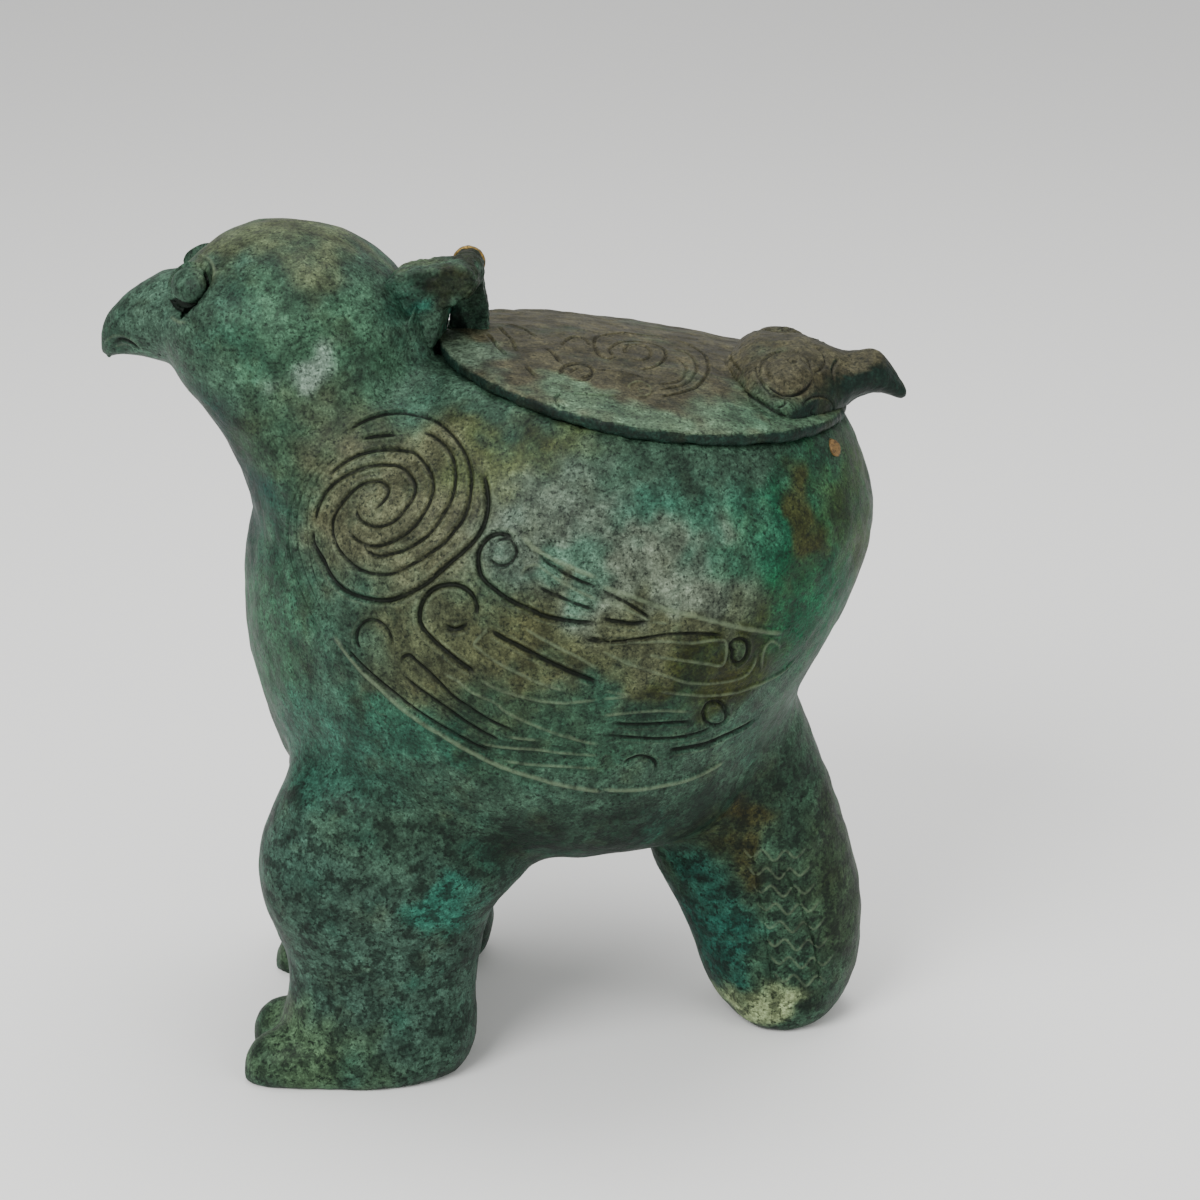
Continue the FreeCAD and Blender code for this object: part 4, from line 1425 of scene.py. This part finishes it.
class VESSEL_OT_body(bpy.types.Operator):
    """Make the vessel's cast skin, carved back where the ornament panels lie"""
    bl_idname = "vessel.body"
    bl_label = "Body skin"

    def execute(self, context):
        mesh = body_surface().copy()
        mesh.name = "cast_body"
        points = mesh_points(mesh)
        normals = mesh_normals(mesh)
        carve = np.zeros(len(points))
        for outline in (FLANK_REGION, FACE_REGION, TAIL_REGION):
            depth = region_depth(points, normals, outline)
            carve = np.maximum(carve, carve_depth(depth))
        set_points(mesh, points - normals * carve[:, None])
        store_relief(mesh, np.zeros(len(points)))
        finish_piece(
            "cast_body", painted(mesh, "body"), "vessel", "body",
            ("body_shell", "left_leg", "right_leg", "tail_support"))
        return {"FINISHED"}


class VESSEL_OT_flanks(bpy.types.Operator):
    """Make the spiral medallion and the feathered wing on both flanks"""
    bl_idname = "vessel.flanks"
    bl_label = "Medallions and wings"

    def execute(self, context):
        ornament = Ornament(surface_tree(body_surface()))
        for lines, window, kind in (
            ((MEDALLION_OUTER_SPIRAL, MEDALLION_SECOND_SPIRAL,
              MEDALLION_THIRD_SPIRAL, MEDALLION_FOURTH_SPIRAL,
              MEDALLION_TOP_LINE), MEDALLION_WINDOW, GROOVE),
            ((MEDALLION_BORDER,), MEDALLION_WINDOW, DEEP_GROOVE),
            (BREAST_SWEEPS, MEDALLION_WINDOW, FINE_GROOVE),
            (SHOULDER_DEEP_GROOVES, SHOULDER_WINDOW, DEEP_GROOVE),
            (SHOULDER_GROOVES, SHOULDER_WINDOW, GROOVE),
            (SHOULDER_RIDGES, SHOULDER_WINDOW, RIDGE),
            (SHOULDER_BORDER_RIDGES, SHOULDER_WINDOW, BORDER_RIDGE),
            (REAR_DEEP_GROOVES, REAR_WING_WINDOW, DEEP_GROOVE),
            (REAR_GROOVES, REAR_WING_WINDOW, GROOVE),
            (REAR_RIDGES, REAR_WING_WINDOW, RIDGE),
            (REAR_BORDER_RIDGES, REAR_WING_WINDOW, BORDER_RIDGE),
        ):
            ornament.trace(lines, window, kind)
        ornament_panels(
            "flank", FLANK_REGION, ornament, medallion_swell, FLANK_CUTS)
        return {"FINISHED"}


class VESSEL_OT_faces(bpy.types.Operator):
    """Make the face's mouth line, eye sockets and lids on both sides"""
    bl_idname = "vessel.faces"
    bl_label = "Face"

    def execute(self, context):
        ornament = Ornament(surface_tree(body_surface()))
        ornament.trace(FACE_DEEP_GROOVES, HEAD_WINDOW, DEEP_GROOVE)
        ornament.trace(FACE_RIDGES, HEAD_WINDOW, RIDGE)
        ornament_panels("face", FACE_REGION, ornament, mandible_recess)
        return {"FINISHED"}


class VESSEL_OT_tail_feathers(bpy.types.Operator):
    """Make the tail's feathered panels on both sides"""
    bl_idname = "vessel.tail_feathers"
    bl_label = "Tail feathers"

    def execute(self, context):
        ornament = Ornament(surface_tree(body_surface()))
        ornament.trace(TAIL_GROOVES, TAIL_WINDOW, FINE_GROOVE)
        (top, top_x), (bottom, bottom_x) = TAIL_MIDDLE_LINE
        chevrons = []
        for level in TAIL_CHEVRON_LEVELS:
            middle = top_x + (level - top) * (bottom_x - top_x) / (bottom - top)
            chevrons.append([
                (middle + across, level + down) for across, down in TAIL_CHEVRON])
        ornament.trace(chevrons, TAIL_WINDOW, FINE_RIDGE)
        ornament_panels("tail_feathers", TAIL_REGION, ornament)
        return {"FINISHED"}


def with_pin(shape):
    """Close the lug's bore with the stretch of the pin that lies inside it."""
    pin = merged_copy("hinge_pin")
    bmesh.ops.bisect_plane(
        pin, geom=pin.verts[:] + pin.edges[:] + pin.faces[:],
        plane_co=(0, (LUG_FAR_END - PIN_CUT_BACK) * MM, 0), plane_no=(0, 1, 0),
        clear_outer=True)
    bmesh.ops.holes_fill(
        pin, edges=[edge for edge in pin.edges if edge.is_boundary])
    mesh = bpy.data.meshes.new("pin_in_lug")
    pin.to_mesh(mesh)
    pin.free()
    shape.from_mesh(mesh)
    bpy.data.meshes.remove(mesh)


def refined(mesh, wanted):
    """Split the wanted faces of a skin finely, to carry ornament."""
    shape = bmesh.new()
    shape.from_mesh(mesh)
    edges = {
        edge for face in shape.faces if wanted(face) for edge in face.edges}
    bmesh.ops.subdivide_edges(
        shape, edges=list(edges), cuts=LID_CUTS, use_grid_fill=True)
    shape.to_mesh(mesh)
    shape.free()


def cast_piece(
    name, node, body, key, cast, fitted=None, ornament=None, wanted=None,
):
    """Cast a copy of a CAD node as a softened, slightly uneven skin."""
    voxel, rounds, unevenness = cast
    shape = merged_copy(node)
    if node == "neck_hinge_lug":
        with_pin(shape)
    mesh = cast_skin(name, shape, voxel, rounds)
    if wanted is not None:
        refined(mesh, wanted)
    if fitted is not None:
        set_points(mesh, fitted(mesh_points(mesh)))
    points = mesh_points(mesh)
    normals = mesh_normals(mesh)
    uneven = sum(
        share * unevenness * lumps(points, length * voxel, PIECE_LUMP_SEED + index)
        for index, (share, length) in enumerate(PIECE_LUMPS))
    relief = np.zeros(len(points))
    if ornament is not None:
        relief, swell = ornament(points, normals)
        uneven += swell
    points = points + normals * (uneven + relief)[:, None]
    if node in ("left_eye", "right_eye"):
        points, relief = bulged_eye(points, normals)
    set_points(mesh, points)
    store_relief(mesh, relief)
    finish_piece(name, painted(mesh, key), body, key, (node,))


def bulged_eye(points, normals):
    """A round eyeball in its socket's hollow, which sinks deeper and is painted with
    shadow below and behind it.
    """
    away = photo_pixels(left_side(points)) - np.array(EYE_MIDDLE)
    reach = np.linalg.norm(away, axis=1) / EYE_BALL_PIXELS
    ball = EYE_BALL_RISE * np.sqrt(np.clip(1 - reach ** 2, 0, 1))
    hollow = eased(reach, *EYE_HOLLOW_SHARES)
    dark = hollow * eased(away @ np.array(EYE_HOLLOW_WAY), *EYE_DARK_PIXELS)
    outward = np.where(seen_share(points, normals) > EYE_MIN_FACING, 1.0, 0.0)
    lift = outward * (ball - EYE_HOLLOW * hollow - EYE_DARK_DEPTH * dark)
    # The shadowed side returns a negative relief, which the finish paints as shadow.
    return points + normals * lift[:, None], EYE_PAINTED_SHADOW * dark


def lid_surface():
    """The lid and its bird head as one surface to lay lines on."""
    points = []
    faces = []
    for node, fitted in (("lid", lid_fit), ("lid_bird_head", bird_fit)):
        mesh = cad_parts[node].data
        start = len(points)
        points.extend(Vector(point) for point in fitted(mesh_points(mesh)))
        faces.extend(
            [start + index for index in face.vertices] for face in mesh.polygons)
    return BVHTree.FromPolygons(points, faces)


class VESSEL_OT_lid(bpy.types.Operator):
    """Make the lid with its scrolls"""
    bl_idname = "vessel.lid"
    bl_label = "Lid"

    def execute(self, context):
        cast = (*LID_CAST, context.scene.vessel_sizes.lid_unevenness)
        ornament = Ornament(lid_surface())
        ornament.trace(LID_REAR_GROOVES, LID_WINDOW, LID_GROOVE, LID_TRACE_FADE)
        ornament.trace(LID_FRONT_GROOVES, HINGE_WINDOW, LID_GROOVE, LID_TRACE_FADE)
        ornament.trace(LID_REAR_RIDGES, LID_WINDOW, LID_RIDGE, LID_TRACE_FADE)
        middle, axis = lid_place()

        def scrolls(points, normals):
            up = eased(normals @ axis, *LID_TOP_FACINGS)
            return ornament.height(points) * up, 0.0

        def on_top(face):
            height = face.calc_center_median().z
            return (face.normal.z > LID_CUT_FACING
                    and height > (middle[2] - LID_TOP_DROP) * MM)

        cast_piece(
            "cast_lid", "lid", "lid", "lid", cast, lid_fit, scrolls, on_top)
        return {"FINISHED"}


class VESSEL_OT_lid_bird(bpy.types.Operator):
    """Make the bird's head on the lid, with its round eyes and scrolls"""
    bl_idname = "vessel.lid_bird"
    bl_label = "Lid bird head"

    def execute(self, context):
        surface = lid_surface()
        ornament = Ornament(surface)
        ornament.trace(LID_BIRD_DEEP_GROOVES, LID_WINDOW, GROOVE, LID_TRACE_FADE)
        ornament.trace(LID_BIRD_GROOVES, LID_WINDOW, LID_GROOVE, LID_TRACE_FADE)
        eye = np.array(
            seen_point(surface, window_pixels([LID_BIRD_EYE], LID_WINDOW)))

        def scrolls(points, normals):
            folded = left_side(points)
            reach = np.linalg.norm(folded - eye, axis=1) / LID_BIRD_EYE_RADIUS
            dome = np.sqrt(np.clip(1 - reach ** 2, 0, 1))
            return ornament.height(folded), LID_BIRD_EYE_RISE * dome

        cast_piece(
            "cast_lid_bird", "lid_bird_head", "lid", "lid", BIRD_CAST, bird_fit,
            scrolls)
        return {"FINISHED"}


class VESSEL_OT_hinge(bpy.types.Operator):
    """Make the hinge's lug, arm and collar, and finish its pin"""
    bl_idname = "vessel.hinge"
    bl_label = "Hinge"

    def execute(self, context):
        cast_piece(
            "cast_hinge_lug", "neck_hinge_lug", "vessel", "body", LUG_CAST,
            lug_fit)
        cast_piece(
            "cast_hinge_arm", "lid_hinge_arm", "lid", "body", ARM_CAST, arm_fit)
        cast_piece(
            "cast_hinge_collar", "hinge_collar", "vessel", "gilt", COLLAR_CAST)
        set_finish(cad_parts["hinge_pin"].data, "pin")
        return {"FINISHED"}


class VESSEL_OT_eyes(bpy.types.Operator):
    """Make the two domed eyes"""
    bl_idname = "vessel.eyes"
    bl_label = "Eyes"

    def execute(self, context):
        for name in ("left_eye", "right_eye"):
            fitted = far_eye_fit if name == "right_eye" else None
            cast_piece(
                "cast_" + name, name, "vessel", "body", EYE_CAST, fitted)
        return {"FINISHED"}


class VESSEL_OT_plug_and_cores(bpy.types.Operator):
    """Finish the plug below the rim and the clay sealed in legs and tail"""
    bl_idname = "vessel.plug_and_cores"
    bl_label = "Plug and clay cores"

    def execute(self, context):
        cast_piece(
            "cast_rim_plug", "rim_plug", "vessel", "plug", PLUG_CAST, plug_fit)
        for name in ("left_leg_core", "right_leg_core", "tail_core"):
            set_finish(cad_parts[name].data, "clay")
        return {"FINISHED"}


class VESSEL_PT_panel(bpy.types.Panel):
    """Lists the vessel's sizes, colours and pieces"""
    bl_idname = "VESSEL_PT_panel"
    bl_label = "Bird vessel"
    bl_space_type = "VIEW_3D"
    bl_region_type = "UI"
    bl_category = "Vessel"

    def draw(self, context):
        sizes = context.scene.vessel_sizes
        colours = context.scene.vessel_colours
        self.layout.prop(sizes, "lid_unevenness")
        self.layout.prop(sizes, "floor_size")
        self.layout.prop(colours, "floor")
        self.layout.prop(colours, "studio")
        for operator in OPERATORS:
            self.layout.operator(operator.bl_idname)


OPERATORS = (
    VESSEL_OT_stage,
    VESSEL_OT_body,
    VESSEL_OT_flanks,
    VESSEL_OT_faces,
    VESSEL_OT_tail_feathers,
    VESSEL_OT_lid,
    VESSEL_OT_lid_bird,
    VESSEL_OT_hinge,
    VESSEL_OT_eyes,
    VESSEL_OT_plug_and_cores,
)
GROUPS = (VesselSizes, VesselColours)


def register():
    for made in GROUPS + OPERATORS + (VESSEL_PT_panel,):
        bpy.utils.register_class(made)
    bpy.types.Scene.vessel_sizes = bpy.props.PointerProperty(type=VesselSizes)
    bpy.types.Scene.vessel_colours = bpy.props.PointerProperty(type=VesselColours)


def unregister():
    del bpy.types.Scene.vessel_colours
    del bpy.types.Scene.vessel_sizes
    for made in reversed(GROUPS + OPERATORS + (VESSEL_PT_panel,)):
        bpy.utils.unregister_class(made)


def main():
    register()
    for operator in OPERATORS:
        name = operator.bl_idname.split(".")[1]
        getattr(bpy.ops.vessel, name)()


if __name__ == "__main__":
    main()
